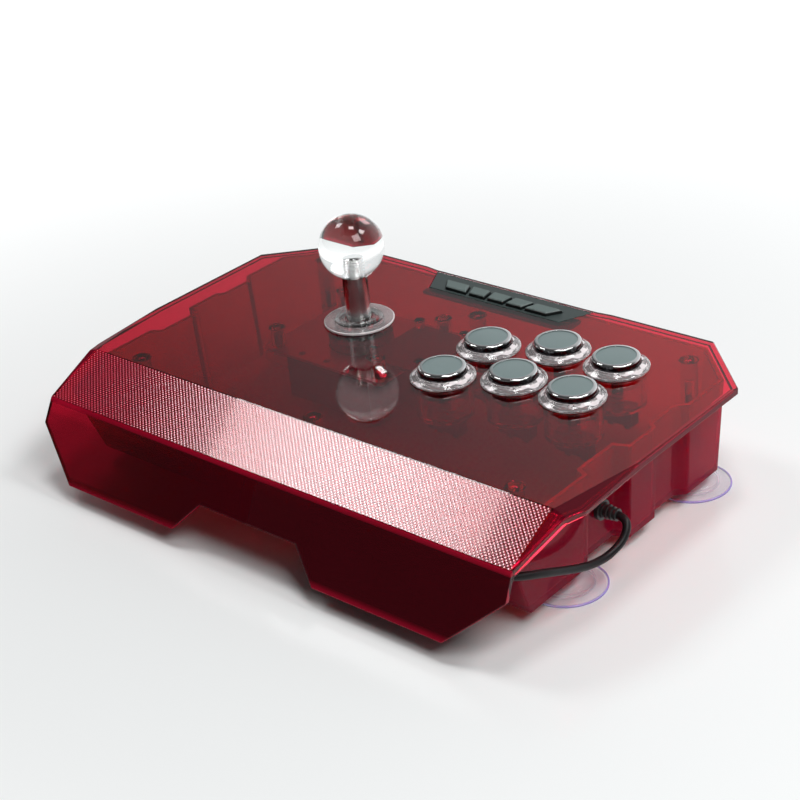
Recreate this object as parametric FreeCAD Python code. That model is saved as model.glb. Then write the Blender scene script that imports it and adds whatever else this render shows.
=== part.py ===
"""Arcade stick with a see-through two-part case, a ball-top lever, six round buttons and five function keys.

Millimetres, +Z up. The origin is on the resting surface under the middle of the case, +X to the player's right
and +Y away from the player.
"""
import FreeCAD
import Part
import math
import os

V = FreeCAD.Vector

# Case cover: a flat panel, a palm slope and a leaning front wall, folded in one moulding
COVER_WIDTH = 322.4
COVER_DEPTH = 225.0
PANEL_HEIGHT = 60.0
COVER_WALL = 3.2
REAR_CORNER_CHAMFER = 36.0
SLOPE_RUN = 33.9
SLOPE_DROP = 14.0
FRONT_LEAN = 19.0
FOOT_HEIGHT = 9.5
LIP_HEIGHT = 4.0
LIP_WIDTH = 3.0
EDGE_ROUND = 1.1
# Side facets at the front: where the panel's ridge leaves the lip and how far it comes in
FACET_LENGTH = 56.9
FACET_INSET = 9.7
FACET_DROP = 2.6
LIP_CORNER_INSET = 3.2
LIP_CORNER_LENGTH = 10.0
SLOPE_FOOT_INSET = 8.2
# Front wall outline
FRONT_WIDEST_INSET = 7.0
FRONT_WIDEST_DROP = 26.4
FOOT_OUTER_INSET = 35.4
CUTOUT_BOTTOM = 47.5
CUTOUT_TOP = 32.4
CUTOUT_HEIGHT = 14.7
# Shallow step in the rear edge behind the function keys
REAR_STEP_WIDTH = 109.0
REAR_STEP_RAMP = 8.5
REAR_STEP_DEPTH = 1.2

# Lower case: a drafted tray with stepped sides
TRAY_BOTTOM = 7.5
TRAY_WALL = 2.5
TRAY_FLOOR = 2.5
TRAY_DRAFT_DEG = 3.0
TRAY_SIDE_INSET = 14.2
TRAY_REAR_INSET = 7.5
TRAY_CHAMFER = 25.0
TRAY_FRONT = -70.1
TRAY_FRONT_LEAN_DEG = 20.0
NOTCH_DEPTH = 5.0
NOTCH_REAR = 52.5
NOTCH_FRONT = 26.1
RIB_DEPTH = 1.5
RECESS_REAR = 5.0
RECESS_FRONT = -22.9
RECESS_DEPTH = 9.2
FRONT_BLOCK_DEPTH = 3.8
STEP_RAMP = 3.0

# Case posts and screws
POST_RADIUS = 4.5
POST_SPLIT = 28.0
CASE_SCREW_RADIUS = 1.5
CASE_SCREW_LENGTH = 18.0
CASE_SCREW_HEAD_RADIUS = 2.8
CASE_SCREW_HEAD = 2.5
CASE_SCREW_SOCKET = 1.0
SCREW_LAND = 8.0
SCREW_CLEARANCE = 0.2
REAR_POST = (124.0, 91.0)
FRONT_POST = (124.0, -52.0)
MIDDLE_POST_REAR = 78.0

# Suction cups
CUP_RADIUS = 20.0
CUP_RIM = 0.9
CUP_HOLLOW_RADIUS = 11.0
CUP_SHOULDER_RADIUS = 12.0
CUP_HOLLOW = 1.6
CUP_NECK_RADIUS = 5.5
CUP_STEM_RADIUS = 2.6
CUP_HEAD_RADIUS = 3.8
CUP_HEAD_HEIGHT = 2.0
CUP_FROM_WALL = 11.0
CUP_FROM_REAR = 39.0
CUP_FRONT = -33.6
STEM_CLEARANCE = 0.2

# Lever
LEVER_X = -49.7
LEVER_Y = 38.75
BALL_RADIUS = 17.5
BALL_HEIGHT = 43.2
BALL_FLAT = 1.3
STUD_RADIUS = 3.0
STUD_LENGTH = 12.0
STUD_CLEARANCE = 0.05
SHAFT_RADIUS = 4.75
SHAFT_COVER_RADIUS = 6.75
SHAFT_COVER_CLEARANCE = 0.1
SHAFT_COVER_BELOW_PANEL = 7.0
LEVER_HOLE_RADIUS = 13.0
PIVOT_BELOW_PANEL = 14.0
LEVER_TILT_DEG = 8.0
WASHER_RADIUS = 19.0
WASHER_THICKNESS = 1.2
COLLAR_RADIUS = 11.0
COLLAR_THICKNESS = 1.1
COLLAR_CLEARANCE = 0.8
COLLAR_SPIGOT_WALL = 1.2
SLIDING_GAP = 0.3

# Gimbal under the panel
RING_RADIUS = 12.0
RING_WALL = 3.5
RING_HEIGHT = 7.0
PIN_RADIUS = 1.5
RUNNING_FIT = 0.05
CHAMBER_RADIUS = 13.4
CHAMBER_WALL = 4.0
CHAMBER_FLOOR = 2.0
RING_SWING = 5.5
CHAMBER_TOP_BELOW_PANEL = 8.8

# Lever plate, housing skirt, switches and gate
PLATE_LENGTH = 84.0
PLATE_WIDTH = 66.0
PLATE_THICKNESS = 1.6
PLATE_BELOW_PANEL = 14.0
PLATE_SCREW_INSET = 6.0
PLATE_BOSS_RADIUS = 4.0
PLATE_FIT = 0.5
LEVER_SCREW_RADIUS = 2.0
LEVER_SCREW_LENGTH = 9.0
LEVER_SCREW_HEAD_RADIUS = 3.6
LEVER_SCREW_HEAD = 2.4
SKIRT_SIZE = 58.0
SKIRT_WALL = 2.5
SKIRT_HEIGHT = 23.4
GATE_THICKNESS = 3.0
GATE_CLEARANCE = 0.5
BOARD_THICKNESS = 1.6
ACTUATOR_RADIUS = 8.0
ACTUATOR_HEIGHT = 6.5
ACTUATOR_ABOVE_GATE = 2.5
NOSE_RADIUS = 3.5
NOSE_BELOW_GATE = 3.0
CLIP_RADIUS = 4.6
CLIP_THICKNESS = 1.0
CLIP_GAP = 0.1
CLIP_MOUTH = 4.6
GROMMET_RADIUS = 9.0
GROMMET_WAIST = 1.6
SWITCH_LENGTH = 20.0
SWITCH_DEPTH = 10.3
SWITCH_HEIGHT = 6.4
SWITCH_CLEARANCE = 0.9
SWITCH_TERMINAL = 3.5

# Round buttons
BUTTON_COLUMNS = ((30.6, 11.6), (63.7, 26.7), (99.0, 27.3))
BUTTON_ROW_PITCH = 37.1
BUTTON_HOLE_RADIUS = 15.0
BUTTON_BARREL_CLEARANCE = 0.2
BUTTON_RIM_RADIUS = 16.8
BUTTON_RIM_HEIGHT = 3.2
BUTTON_RIM_EDGE = 1.0
BUTTON_BARREL_LENGTH = 18.8
BUTTON_BARREL_FLOOR = 2.0
PLUNGER_RADIUS = 12.2
PLUNGER_CLEARANCE = 0.3
PLUNGER_STAND = 3.2
PLUNGER_TRAVEL = 3.0
PLUNGER_SKIRT = 9.0
PLUNGER_WALL = 1.6
PLUNGER_BEZEL = 1.5
PLUNGER_EDGE = 0.6
STEM_RADIUS = 3.0
INLAY_THICKNESS = 1.0
INLAY_CLEARANCE = 0.05
BUTTON_SWITCH_HEIGHT = 10.3

# Function keys and their strip
STRIP_FRONT_HALF = 44.0
STRIP_REAR_HALF = 52.7
STRIP_FRONT_FROM_REAR = 21.7
STRIP_REAR_FROM_REAR = 3.9
STRIP_THICKNESS = 1.6
STRIP_CLEARANCE = 0.1
KEY_FRONT_FROM_REAR = 19.5
KEY_DEPTH = 7.8
KEY_HEIGHT = 2.0
KEY_TRAVEL = 0.7
KEY_GAP = 2.2
KEY_WIDTHS = (14.0, 10.4, 10.4, 10.4, 14.0)
KEY_FAN = 1.16
KEY_CLEARANCE = 0.3
KEY_FLANGE = 0.7
KEY_FLANGE_HEIGHT = 1.4
WINDOW_MARGIN = 1.2
KEY_SWITCH_SIZE = 4.5
KEY_SWITCH_HEIGHT = 1.2
FUNCTION_BOARD_HALF = 49.0
FUNCTION_BOARD_FRONT_FROM_REAR = 22.0
FUNCTION_BOARD_REAR_FROM_REAR = 8.6
FUNCTION_POST_RADIUS = 2.4
FUNCTION_POST_FROM_END = 4.0

# Main board, hung from four posts under the panel
MAIN_BOARD = (-27.0, 17.0, 11.0, 61.0)
MAIN_BOARD_BELOW_PANEL = 8.0
MAIN_POST_RADIUS = 2.4
MAIN_POST_INSET = 3.5

# Cord, its gland, and the hank, tie and plug that lie stored in the channel behind the front wall
CORD_RADIUS = 2.0
GLAND_Y = -9.5
GLAND_HEIGHT = 29.4
GLAND_FLANGE_RADIUS = 5.2
GLAND_FLANGE = 2.0
GLAND_RADIUS = 3.9
GLAND_TIP_RADIUS = 3.1
GLAND_REACH = 10.6
GLAND_GROOVE = 0.9
GLAND_GROOVES = 3
GLAND_CLEARANCE = 0.15
GLAND_FACE_GAP = 0.4
BEND_SHARE = 0.45
CORD_ROUTE = (
    (153.8, -9.8, 29.0), (156.4, -12.2, 26.4), (156.9, -16.0, 22.6), (156.2, -21.2, 19.8), (155.2, -29.0, 18.2),
    (154.2, -41.6, 20.4), (152.9, -57.6, 26.8), (152.2, -71.0, 32.8), (149.2, -82.4, 36.4), (141.2, -88.2, 37.0),
    (130.6, -90.2, 36.8), (118.0, -91.6, 35.8), (107.0, -92.1, 33.9), (98.0, -92.2, 31.5), (92.0, -92.2, 29.7),
)
TAIL_ROUTE = (
    (102.0, -83.8, 30.6), (91.0, -80.6, 26.2), (82.4, -78.2, 18.9), (75.6, -77.5, 12.0),
)
FLOOR_GAP = 0.3
HANK_X = 70.2
HANK_Y = -88.0
HANK_HALF_THICK = 6.4
HANK_HALF_LENGTH = 33.5
HANK_TURN_RADIUS = 16.2
NECK_HALF_LENGTH = 8.0
NECK_HALF_HEIGHT = 8.6
TIE_WIDTH = 8.0
TIE_THICKNESS = 1.1
TIE_CLEARANCE = 0.15
PLUG_START_X = 58.0
PLUG_LEAD = 11.0
PLUG_Y = -77.5
PLUG_GRIP_LENGTH = 26.0
PLUG_GRIP_WIDTH = 15.5
PLUG_GRIP_HEIGHT = 7.4
PLUG_RELIEF_LENGTH = 7.0
PLUG_SHELL_LENGTH = 12.0
PLUG_SHELL_WIDTH = 12.0
PLUG_SHELL_HEIGHT = 4.5
PLUG_SHELL_WALL = 0.4
PLUG_ROUND = 1.8

# Levels and lines that several pieces share
HALF_WIDTH = COVER_WIDTH / 2
REAR = COVER_DEPTH / 2
FOOT_Y = -COVER_DEPTH / 2
SLOPE_FOOT_Y = FOOT_Y + FRONT_LEAN
SLOPE_TOP_Y = SLOPE_FOOT_Y + SLOPE_RUN
SLOPE_FOOT_Z = PANEL_HEIGHT - SLOPE_DROP
PANEL_UNDER = PANEL_HEIGHT - COVER_WALL
TRAY_FLOOR_TOP = TRAY_BOTTOM + TRAY_FLOOR
TRAY_HALF = HALF_WIDTH - TRAY_SIDE_INSET
PIVOT_Z = PANEL_HEIGHT - PIVOT_BELOW_PANEL
PLATE_TOP = PANEL_HEIGHT - PLATE_BELOW_PANEL
PLATE_UNDER = PLATE_TOP - PLATE_THICKNESS
SKIRT_BOTTOM = PLATE_UNDER - SKIRT_HEIGHT
GATE_BOTTOM = SKIRT_BOTTOM - GATE_THICKNESS
BALL_Z = PANEL_HEIGHT + BALL_HEIGHT
BALL_UNDER = BALL_Z - BALL_RADIUS + BALL_FLAT
SHAFT_COVER_FOOT = PANEL_HEIGHT - SHAFT_COVER_BELOW_PANEL
CHAMBER_OUTER = CHAMBER_RADIUS + CHAMBER_WALL
GROMMET_SEAT = PIVOT_Z - RING_SWING - CHAMBER_FLOOR
ACTUATOR_BOTTOM = SKIRT_BOTTOM + ACTUATOR_ABOVE_GATE
ACTUATOR_TOP = ACTUATOR_BOTTOM + ACTUATOR_HEIGHT
LEVER_SWING = math.tan(math.radians(LEVER_TILT_DEG))
WASHER_SHIFT = (PANEL_HEIGHT + WASHER_THICKNESS - PIVOT_Z) * LEVER_SWING
HANK_CENTRE_HEIGHT = FLOOR_GAP + HANK_TURN_RADIUS + CORD_RADIUS
PLUG_Z = FLOOR_GAP + PLUG_GRIP_WIDTH / 2
GLAND_WALL_X = TRAY_HALF - RECESS_DEPTH + (GLAND_HEIGHT - TRAY_BOTTOM) * math.tan(math.radians(TRAY_DRAFT_DEG))


def save(shape, node):
    """Write one piece to its own file."""
    shape.exportStep("parts/" + node + ".step")


def face_of(points):
    """A flat face inside a closed outline."""
    return Part.Face(Part.makePolygon(list(points) + [points[0]]))


def prism_x(outline, start, end):
    """A (Y, Z) outline carried along X."""
    return face_of([V(start, y, z) for y, z in outline]).extrude(V(end - start, 0, 0))


def prism_y(outline, start, end):
    """An (X, Z) outline carried along Y."""
    return face_of([V(x, start, z) for x, z in outline]).extrude(V(0, end - start, 0))


def prism_z(outline, start, end):
    """An (X, Y) outline carried up Z."""
    return face_of([V(x, y, start) for x, y in outline]).extrude(V(0, 0, end - start))


def box(low, high):
    """A block between two corners."""
    return Part.makeBox(high[0] - low[0], high[1] - low[1], high[2] - low[2], V(*low))


def rod(radius, base, axis, length):
    """A round bar from a point along a direction."""
    return Part.makeCylinder(radius, length, V(*base), V(*axis))


def turned(profile, x, y):
    """An (R, Z) half section turned about the upright line through (x, y)."""
    section = face_of([V(r, 0, z) for r, z in profile])
    solid = section.revolve(V(0, 0, 0), V(0, 0, 1), 360)
    solid.translate(V(x, y, 0))
    return solid


def both_sides(half):
    """A closed outline from its right half, given from the rear to the front."""
    return list(half) + [(-x, y) for x, y in reversed(half)]


def meet(a, b, c, d):
    """Where the line a to b crosses the line c to d."""
    rx, ry = b[0] - a[0], b[1] - a[1]
    sx, sy = d[0] - c[0], d[1] - c[1]
    t = ((c[0] - a[0]) * sy - (c[1] - a[1]) * sx) / (rx * sy - ry * sx)
    return (a[0] + t * rx, a[1] + t * ry)


def side_line(a, b, gap):
    """The line a to b moved sideways, to its right for a gap above nothing."""
    length = math.hypot(b[0] - a[0], b[1] - a[1])
    nx, ny = (b[1] - a[1]) / length * gap, -(b[0] - a[0]) / length * gap
    return (a[0] + nx, a[1] + ny), (b[0] + nx, b[1] + ny)


def inset_outline(points, gap):
    """A closed outline, listed clockwise, drawn in by a gap on every side."""
    count = len(points)
    lines = [side_line(points[i], points[(i + 1) % count], gap) for i in range(count)]
    return [meet(*lines[i - 1], *lines[i]) for i in range(count)]


def inner_path(points, gap):
    """An open path moved to its left by a gap, with mitred corners."""
    lines = [side_line(points[i], points[i + 1], -gap) for i in range(len(points) - 1)]
    corners = [meet(*lines[i], *lines[i + 1]) for i in range(len(lines) - 1)]
    return [lines[0][0]] + corners + [lines[-1][1]]


def above_plane(p, q, r):
    """A thick slab that fills the space above the plane through three points."""
    normal = (q - p).cross(r - p).normalize()
    if normal.z < 0:
        normal = normal * -1
    across = (q - p).normalize()
    along = normal.cross(across)
    reach = COVER_DEPTH
    corners = [p + across * (i * reach) + along * (j * reach) for i, j in ((-1, -1), (1, -1), (1, 1), (-1, 1))]
    return face_of(corners).extrude(normal * reach)


def mirrored_pair(shape):
    """A shape on the right and its mirror image on the left."""
    return [shape, shape.mirror(V(0, 0, 0), V(1, 0, 0))]


def join(shapes):
    """Pieces of one moulding made into one solid."""
    return shapes[0].fuse(shapes[1:]).removeSplitter()


def case_post_places():
    """The six places where the two case halves are screwed together."""
    corners = [(side * x, y) for x, y in (REAR_POST, FRONT_POST) for side in (-1, 1)]
    return corners + [(0, MIDDLE_POST_REAR), (0, FRONT_POST[1])]


def cover_path():
    """The cover's outer side line, from the rear edge to below the foot of the front wall."""
    overrun = SLOPE_FOOT_Z / (SLOPE_FOOT_Z - FOOT_HEIGHT)
    below = SLOPE_FOOT_Y - FRONT_LEAN * overrun
    return [(REAR, PANEL_HEIGHT), (SLOPE_TOP_Y, PANEL_HEIGHT), (SLOPE_FOOT_Y, SLOPE_FOOT_Z), (below, 0.0)]


def cover_plan():
    """The cover's outline from above."""
    step = REAR_STEP_WIDTH / 2
    corner_x = HALF_WIDTH - LIP_CORNER_INSET
    foot_x = HALF_WIDTH - SLOPE_FOOT_INSET
    widest_x = HALF_WIDTH - FRONT_WIDEST_INSET
    widest_y = SLOPE_FOOT_Y - FRONT_LEAN / 2
    return both_sides([
        (step, REAR - REAR_STEP_DEPTH), (step + REAR_STEP_RAMP, REAR),
        (HALF_WIDTH - REAR_CORNER_CHAMFER, REAR), (HALF_WIDTH, REAR - REAR_CORNER_CHAMFER),
        (HALF_WIDTH, SLOPE_TOP_Y + LIP_CORNER_LENGTH), (corner_x, SLOPE_TOP_Y), (foot_x, SLOPE_FOOT_Y),
        (widest_x, widest_y), (widest_x, FOOT_Y - COVER_WALL)])


def cover_front():
    """The cover's outline from the front, with the cut-out between its two feet."""
    widest_z = PANEL_HEIGHT - FRONT_WIDEST_DROP
    top = PANEL_HEIGHT + COVER_WALL
    return both_sides([
        (HALF_WIDTH, top), (HALF_WIDTH, SLOPE_FOOT_Z - LIP_HEIGHT), (HALF_WIDTH - FRONT_WIDEST_INSET, widest_z),
        (HALF_WIDTH - FOOT_OUTER_INSET, FOOT_HEIGHT), (CUTOUT_BOTTOM, FOOT_HEIGHT),
        (CUTOUT_TOP, FOOT_HEIGHT + CUTOUT_HEIGHT)])


def lip_section():
    """The side view of the lip that runs round the panel and down beside the slope."""
    low = PANEL_HEIGHT - LIP_HEIGHT
    bend = SLOPE_TOP_Y + FACET_LENGTH
    return cover_path()[:3] + [
        (SLOPE_FOOT_Y, SLOPE_FOOT_Z - LIP_HEIGHT), (SLOPE_TOP_Y, low - FACET_DROP), (bend, low), (REAR, low)]


def facet_cuts():
    """What is cut away above the two side facets at the front right."""
    bend = V(HALF_WIDTH, SLOPE_TOP_Y + FACET_LENGTH, PANEL_HEIGHT)
    ridge = V(HALF_WIDTH - FACET_INSET, SLOPE_TOP_Y, PANEL_HEIGHT)
    corner = V(HALF_WIDTH - LIP_CORNER_INSET, SLOPE_TOP_Y, PANEL_HEIGHT - FACET_DROP)
    foot = V(HALF_WIDTH - SLOPE_FOOT_INSET, SLOPE_FOOT_Y, SLOPE_FOOT_Z)
    return [above_plane(bend, ridge, corner), above_plane(ridge, corner, foot)]


def key_outline(index, grow):
    """One function key seen from above, grown on every side: the keys fan out towards the rear."""
    left = -(sum(KEY_WIDTHS) + KEY_GAP * (len(KEY_WIDTHS) - 1)) / 2
    left += sum(KEY_WIDTHS[:index]) + KEY_GAP * index
    right = left + KEY_WIDTHS[index]
    front = REAR - KEY_FRONT_FROM_REAR
    rear = front + KEY_DEPTH
    key = [(left, front), (left * KEY_FAN, rear), (right * KEY_FAN, rear), (right, front)]
    return inset_outline(key, -grow)


def strip_outline(shrink):
    """The function strip seen from above, drawn in by a gap."""
    front = REAR - STRIP_FRONT_FROM_REAR
    rear = REAR - STRIP_REAR_FROM_REAR
    strip = both_sides([(STRIP_REAR_HALF, rear), (STRIP_FRONT_HALF, front)])
    return inset_outline(strip, shrink)


def window_outline():
    """The opening in the panel under the strip that the key flanges move in."""
    front = REAR - KEY_FRONT_FROM_REAR - WINDOW_MARGIN
    rear = REAR - KEY_FRONT_FROM_REAR + KEY_DEPTH + WINDOW_MARGIN
    half = (sum(KEY_WIDTHS) + KEY_GAP * (len(KEY_WIDTHS) - 1)) / 2
    return both_sides([(half * KEY_FAN + 2 * WINDOW_MARGIN, rear), (half + 2 * WINDOW_MARGIN, front)])


def button_places():
    """Centres of the six buttons: the front row, then the rear row."""
    front = list(BUTTON_COLUMNS)
    return front + [(x, y + BUTTON_ROW_PITCH) for x, y in front]


def plate_screw_places():
    """The four corners where the lever plate is screwed to the panel."""
    dx = PLATE_LENGTH / 2 - PLATE_SCREW_INSET
    dy = PLATE_WIDTH / 2 - PLATE_SCREW_INSET
    return [(LEVER_X + i * dx, LEVER_Y + j * dy) for i in (-1, 1) for j in (-1, 1)]


def main_post_places():
    """The four corners where the main board hangs."""
    left, front, right, rear = MAIN_BOARD
    return [(x, y) for x in (left + MAIN_POST_INSET, right - MAIN_POST_INSET)
            for y in (front + MAIN_POST_INSET, rear - MAIN_POST_INSET)]


def function_post_places():
    """The two ends where the function board hangs."""
    middle = REAR - (FUNCTION_BOARD_FRONT_FROM_REAR + FUNCTION_BOARD_REAR_FROM_REAR) / 2
    end = FUNCTION_BOARD_HALF - FUNCTION_POST_FROM_END
    return [(-end, middle), (end, middle)]


def function_board_top():
    """The height of the function board's upper face, set by the key travel and the switches under the keys."""
    key_under = PANEL_HEIGHT - STRIP_THICKNESS - SLIDING_GAP - KEY_FLANGE_HEIGHT
    return key_under - KEY_TRAVEL - SLIDING_GAP - KEY_SWITCH_HEIGHT


def hanging_posts(places, radius, low):
    """Round posts under the panel, down to a level."""
    return [rod(radius, (x, y, low), (0, 0, 1), PANEL_UNDER + COVER_WALL / 2 - low) for x, y in places]


def top_cover():
    """The folded cover: panel, slope and front wall, lip, posts, and holes for everything that comes through."""
    outer = cover_path()
    shell = prism_x(outer + inner_path(outer, COVER_WALL)[::-1], -HALF_WIDTH, HALF_WIDTH)
    plan = rounded_top_edge(prism_z(cover_plan(), 0, PANEL_HEIGHT))
    core = prism_z(inset_outline(cover_plan(), LIP_WIDTH), 0, PANEL_HEIGHT + COVER_WALL)
    lip = prism_x(lip_section(), -HALF_WIDTH, HALF_WIDTH).cut(core)
    cover = join([shell, lip]).common(plan)
    cover = cover.common(prism_y(cover_front(), FOOT_Y - COVER_WALL, REAR))
    for cut in facet_cuts():
        cover = cover.cut(mirrored_pair(cut))
    posts = hanging_posts(case_post_places(), POST_RADIUS, POST_SPLIT)
    posts += hanging_posts(plate_screw_places(), PLATE_BOSS_RADIUS, PLATE_TOP)
    posts += hanging_posts(main_post_places(), MAIN_POST_RADIUS, PANEL_HEIGHT - MAIN_BOARD_BELOW_PANEL)
    posts += hanging_posts(function_post_places(), FUNCTION_POST_RADIUS, function_board_top())
    cover = join([cover] + posts)
    screw_hole = CASE_SCREW_RADIUS + RUNNING_FIT
    holes = [rod(screw_hole, (x, y, POST_SPLIT), (0, 0, 1), CASE_SCREW_LENGTH) for x, y in case_post_places()]
    plate_hole = LEVER_SCREW_RADIUS + RUNNING_FIT
    holes += [rod(plate_hole, (x, y, PLATE_TOP), (0, 0, 1), LEVER_SCREW_LENGTH) for x, y in plate_screw_places()]
    through = PANEL_HEIGHT - POST_SPLIT
    holes += [rod(BUTTON_HOLE_RADIUS, (x, y, POST_SPLIT), (0, 0, 1), 2 * through) for x, y in button_places()]
    holes.append(rod(LEVER_HOLE_RADIUS, (LEVER_X, LEVER_Y, POST_SPLIT), (0, 0, 1), 2 * through))
    holes.append(prism_z(strip_outline(0), PANEL_HEIGHT - STRIP_THICKNESS, PANEL_HEIGHT + STRIP_THICKNESS))
    holes.append(prism_z(window_outline(), PANEL_UNDER - COVER_WALL, PANEL_HEIGHT + COVER_WALL))
    return cover.cut(holes)


def rounded_top_edge(plan):
    """The cover's upright outline with its upper edge rounded round the rear and along the sides."""
    edges = []
    for edge in plan.Edges:
        bounds = edge.BoundBox
        if bounds.ZMin > PANEL_HEIGHT - EDGE_ROUND and bounds.YMax > SLOPE_TOP_Y + LIP_CORNER_LENGTH:
            edges.append(edge)
    return plan.makeFillet(EDGE_ROUND, edges)


def tray_plan(grow, front):
    """The tray's stepped outline from above, grown sideways and to the rear, with its front edge at a line."""
    rear = REAR - TRAY_REAR_INSET + grow
    block = TRAY_HALF + grow
    notch = block - NOTCH_DEPTH
    rib = block - RIB_DEPTH
    recess = block - RECESS_DEPTH
    nose = block - FRONT_BLOCK_DEPTH
    chamfer = TRAY_CHAMFER
    return both_sides([
        (block - chamfer, rear), (block, rear - chamfer), (block, NOTCH_REAR), (notch, NOTCH_REAR - NOTCH_DEPTH),
        (notch, NOTCH_FRONT + STEP_RAMP), (rib, NOTCH_FRONT), (rib, RECESS_REAR), (recess, RECESS_REAR - STEP_RAMP),
        (recess, RECESS_FRONT), (nose, RECESS_FRONT - STEP_RAMP), (nose, front)])


def tray_solid(inset, bottom):
    """The tray's outer form, or its hollow when drawn in by a wall, from a level up to the panel."""
    draft = math.tan(math.radians(TRAY_DRAFT_DEG))
    lean = math.tan(math.radians(TRAY_FRONT_LEAN_DEG))
    sections = []
    for level in (bottom, PANEL_UNDER):
        rise = level - TRAY_BOTTOM
        outline = inset_outline(tray_plan(rise * draft, TRAY_FRONT - rise * lean), inset)
        sections.append(Part.makePolygon([V(x, y, level) for x, y in outline + outline[:1]]))
    return Part.makeLoft(sections, True, True)


def under_cover():
    """The space under the cover's inner faces, which the tray's rim is trimmed to."""
    path = inner_path(cover_path(), COVER_WALL)
    floor = [(path[-1][0], 0.0), (REAR, 0.0)]
    return prism_x(path + floor, -HALF_WIDTH, HALF_WIDTH)


def cup_places():
    """Where the four suction cups are, by corner."""
    x = TRAY_HALF - CUP_FROM_WALL
    rows = (("rear", REAR - CUP_FROM_REAR), ("front", CUP_FRONT))
    return {end + "_" + side: (sign * x, y) for end, y in rows for side, sign in (("left", -1), ("right", 1))}


def lower_case():
    """The tray: drafted stepped walls, floor, screw posts, gland hole and cup holes."""
    hollow = tray_solid(TRAY_WALL, TRAY_FLOOR_TOP)
    shell = tray_solid(0, TRAY_BOTTOM).cut(hollow)
    rise = POST_SPLIT - TRAY_BOTTOM
    posts = [rod(POST_RADIUS, (x, y, TRAY_BOTTOM), (0, 0, 1), rise) for x, y in case_post_places()]
    case = join([shell] + posts).common(under_cover())
    sink = POST_SPLIT - SCREW_LAND
    head_hole = CASE_SCREW_HEAD_RADIUS + SCREW_CLEARANCE
    shank_hole = CASE_SCREW_RADIUS + SCREW_CLEARANCE
    holes = [rod(head_hole, (x, y, 0), (0, 0, 1), sink) for x, y in case_post_places()]
    holes += [rod(shank_hole, (x, y, 0), (0, 0, 1), PANEL_HEIGHT) for x, y in case_post_places()]
    stem_hole = CUP_STEM_RADIUS + STEM_CLEARANCE
    holes += [rod(stem_hole, (x, y, 0), (0, 0, 1), TRAY_FLOOR_TOP + TRAY_WALL) for x, y in cup_places().values()]
    holes.append(rod(GLAND_RADIUS + GLAND_CLEARANCE, (0, GLAND_Y, GLAND_HEIGHT), (1, 0, 0), HALF_WIDTH))
    return case.cut(holes)


def suction_cup(x, y):
    """One soft cup: a thin hollow bell, a neck under the floor and a stem with a head above it."""
    neck_top = TRAY_BOTTOM
    head_low = TRAY_FLOOR_TOP
    head_top = head_low + CUP_HEAD_HEIGHT
    profile = [(0, CUP_HOLLOW), (CUP_HOLLOW_RADIUS, CUP_HOLLOW), (CUP_RADIUS - 2 * CUP_RIM, 0), (CUP_RADIUS, 0),
               (CUP_RADIUS, CUP_RIM), (CUP_SHOULDER_RADIUS, CUP_HOLLOW + 2 * CUP_RIM),
               (CUP_NECK_RADIUS, neck_top - CUP_RIM), (CUP_NECK_RADIUS, neck_top), (CUP_STEM_RADIUS, neck_top),
               (CUP_STEM_RADIUS, head_low), (CUP_HEAD_RADIUS, head_low), (CUP_STEM_RADIUS, head_top), (0, head_top)]
    return turned(profile, x, y)


def case_screws():
    """The six case screws, put in from below."""
    seat = POST_SPLIT - SCREW_LAND
    screws = []
    for x, y in case_post_places():
        head = rod(CASE_SCREW_HEAD_RADIUS, (x, y, seat - CASE_SCREW_HEAD), (0, 0, 1), CASE_SCREW_HEAD)
        shank = rod(CASE_SCREW_RADIUS, (x, y, seat), (0, 0, 1), CASE_SCREW_LENGTH)
        socket = rod(CASE_SCREW_SOCKET, (x, y, seat - CASE_SCREW_HEAD), (0, 0, 1), CASE_SCREW_HEAD / 2)
        screws.append(join([head, shank]).cut(socket))
    return Part.makeCompound(screws)


def ball_top():
    """The clear ball, flat underneath, with the bore for the shaft's stud."""
    ball = Part.makeSphere(BALL_RADIUS, V(LEVER_X, LEVER_Y, BALL_Z))
    size = 2 * BALL_RADIUS
    below = box((LEVER_X - size, LEVER_Y - size, BALL_UNDER - size), (LEVER_X + size, LEVER_Y + size, BALL_UNDER))
    bore_depth = STUD_LENGTH + STUD_CLEARANCE
    bore = rod(STUD_RADIUS + STUD_CLEARANCE, (LEVER_X, LEVER_Y, BALL_UNDER), (0, 0, 1), bore_depth)
    return ball.cut([below, bore])


def lever_shaft():
    """The steel shaft: stud, body with the cross hole, and nose with the clip's groove."""
    nose_bottom = GATE_BOTTOM - NOSE_BELOW_GATE
    groove_top = ACTUATOR_BOTTOM - CLIP_GAP
    groove_low = groove_top - CLIP_THICKNESS - 2 * CLIP_GAP
    groove = NOSE_RADIUS - 2 * CLIP_GAP - CLIP_THICKNESS / 2
    edge = CLIP_THICKNESS
    profile = [(0, nose_bottom), (NOSE_RADIUS - edge, nose_bottom), (NOSE_RADIUS, nose_bottom + edge),
               (NOSE_RADIUS, groove_low), (groove, groove_low), (groove, groove_top), (NOSE_RADIUS, groove_top),
               (NOSE_RADIUS, ACTUATOR_TOP), (SHAFT_RADIUS, ACTUATOR_TOP), (SHAFT_RADIUS, BALL_UNDER),
               (STUD_RADIUS, BALL_UNDER), (STUD_RADIUS, BALL_UNDER + STUD_LENGTH), (0, BALL_UNDER + STUD_LENGTH)]
    shaft = turned(profile, LEVER_X, LEVER_Y)
    reach = 2 * SHAFT_RADIUS
    cross = rod(PIN_RADIUS + RUNNING_FIT, (LEVER_X, LEVER_Y - reach, PIVOT_Z), (0, 1, 0), 2 * reach)
    return shaft.cut(cross)


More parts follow.
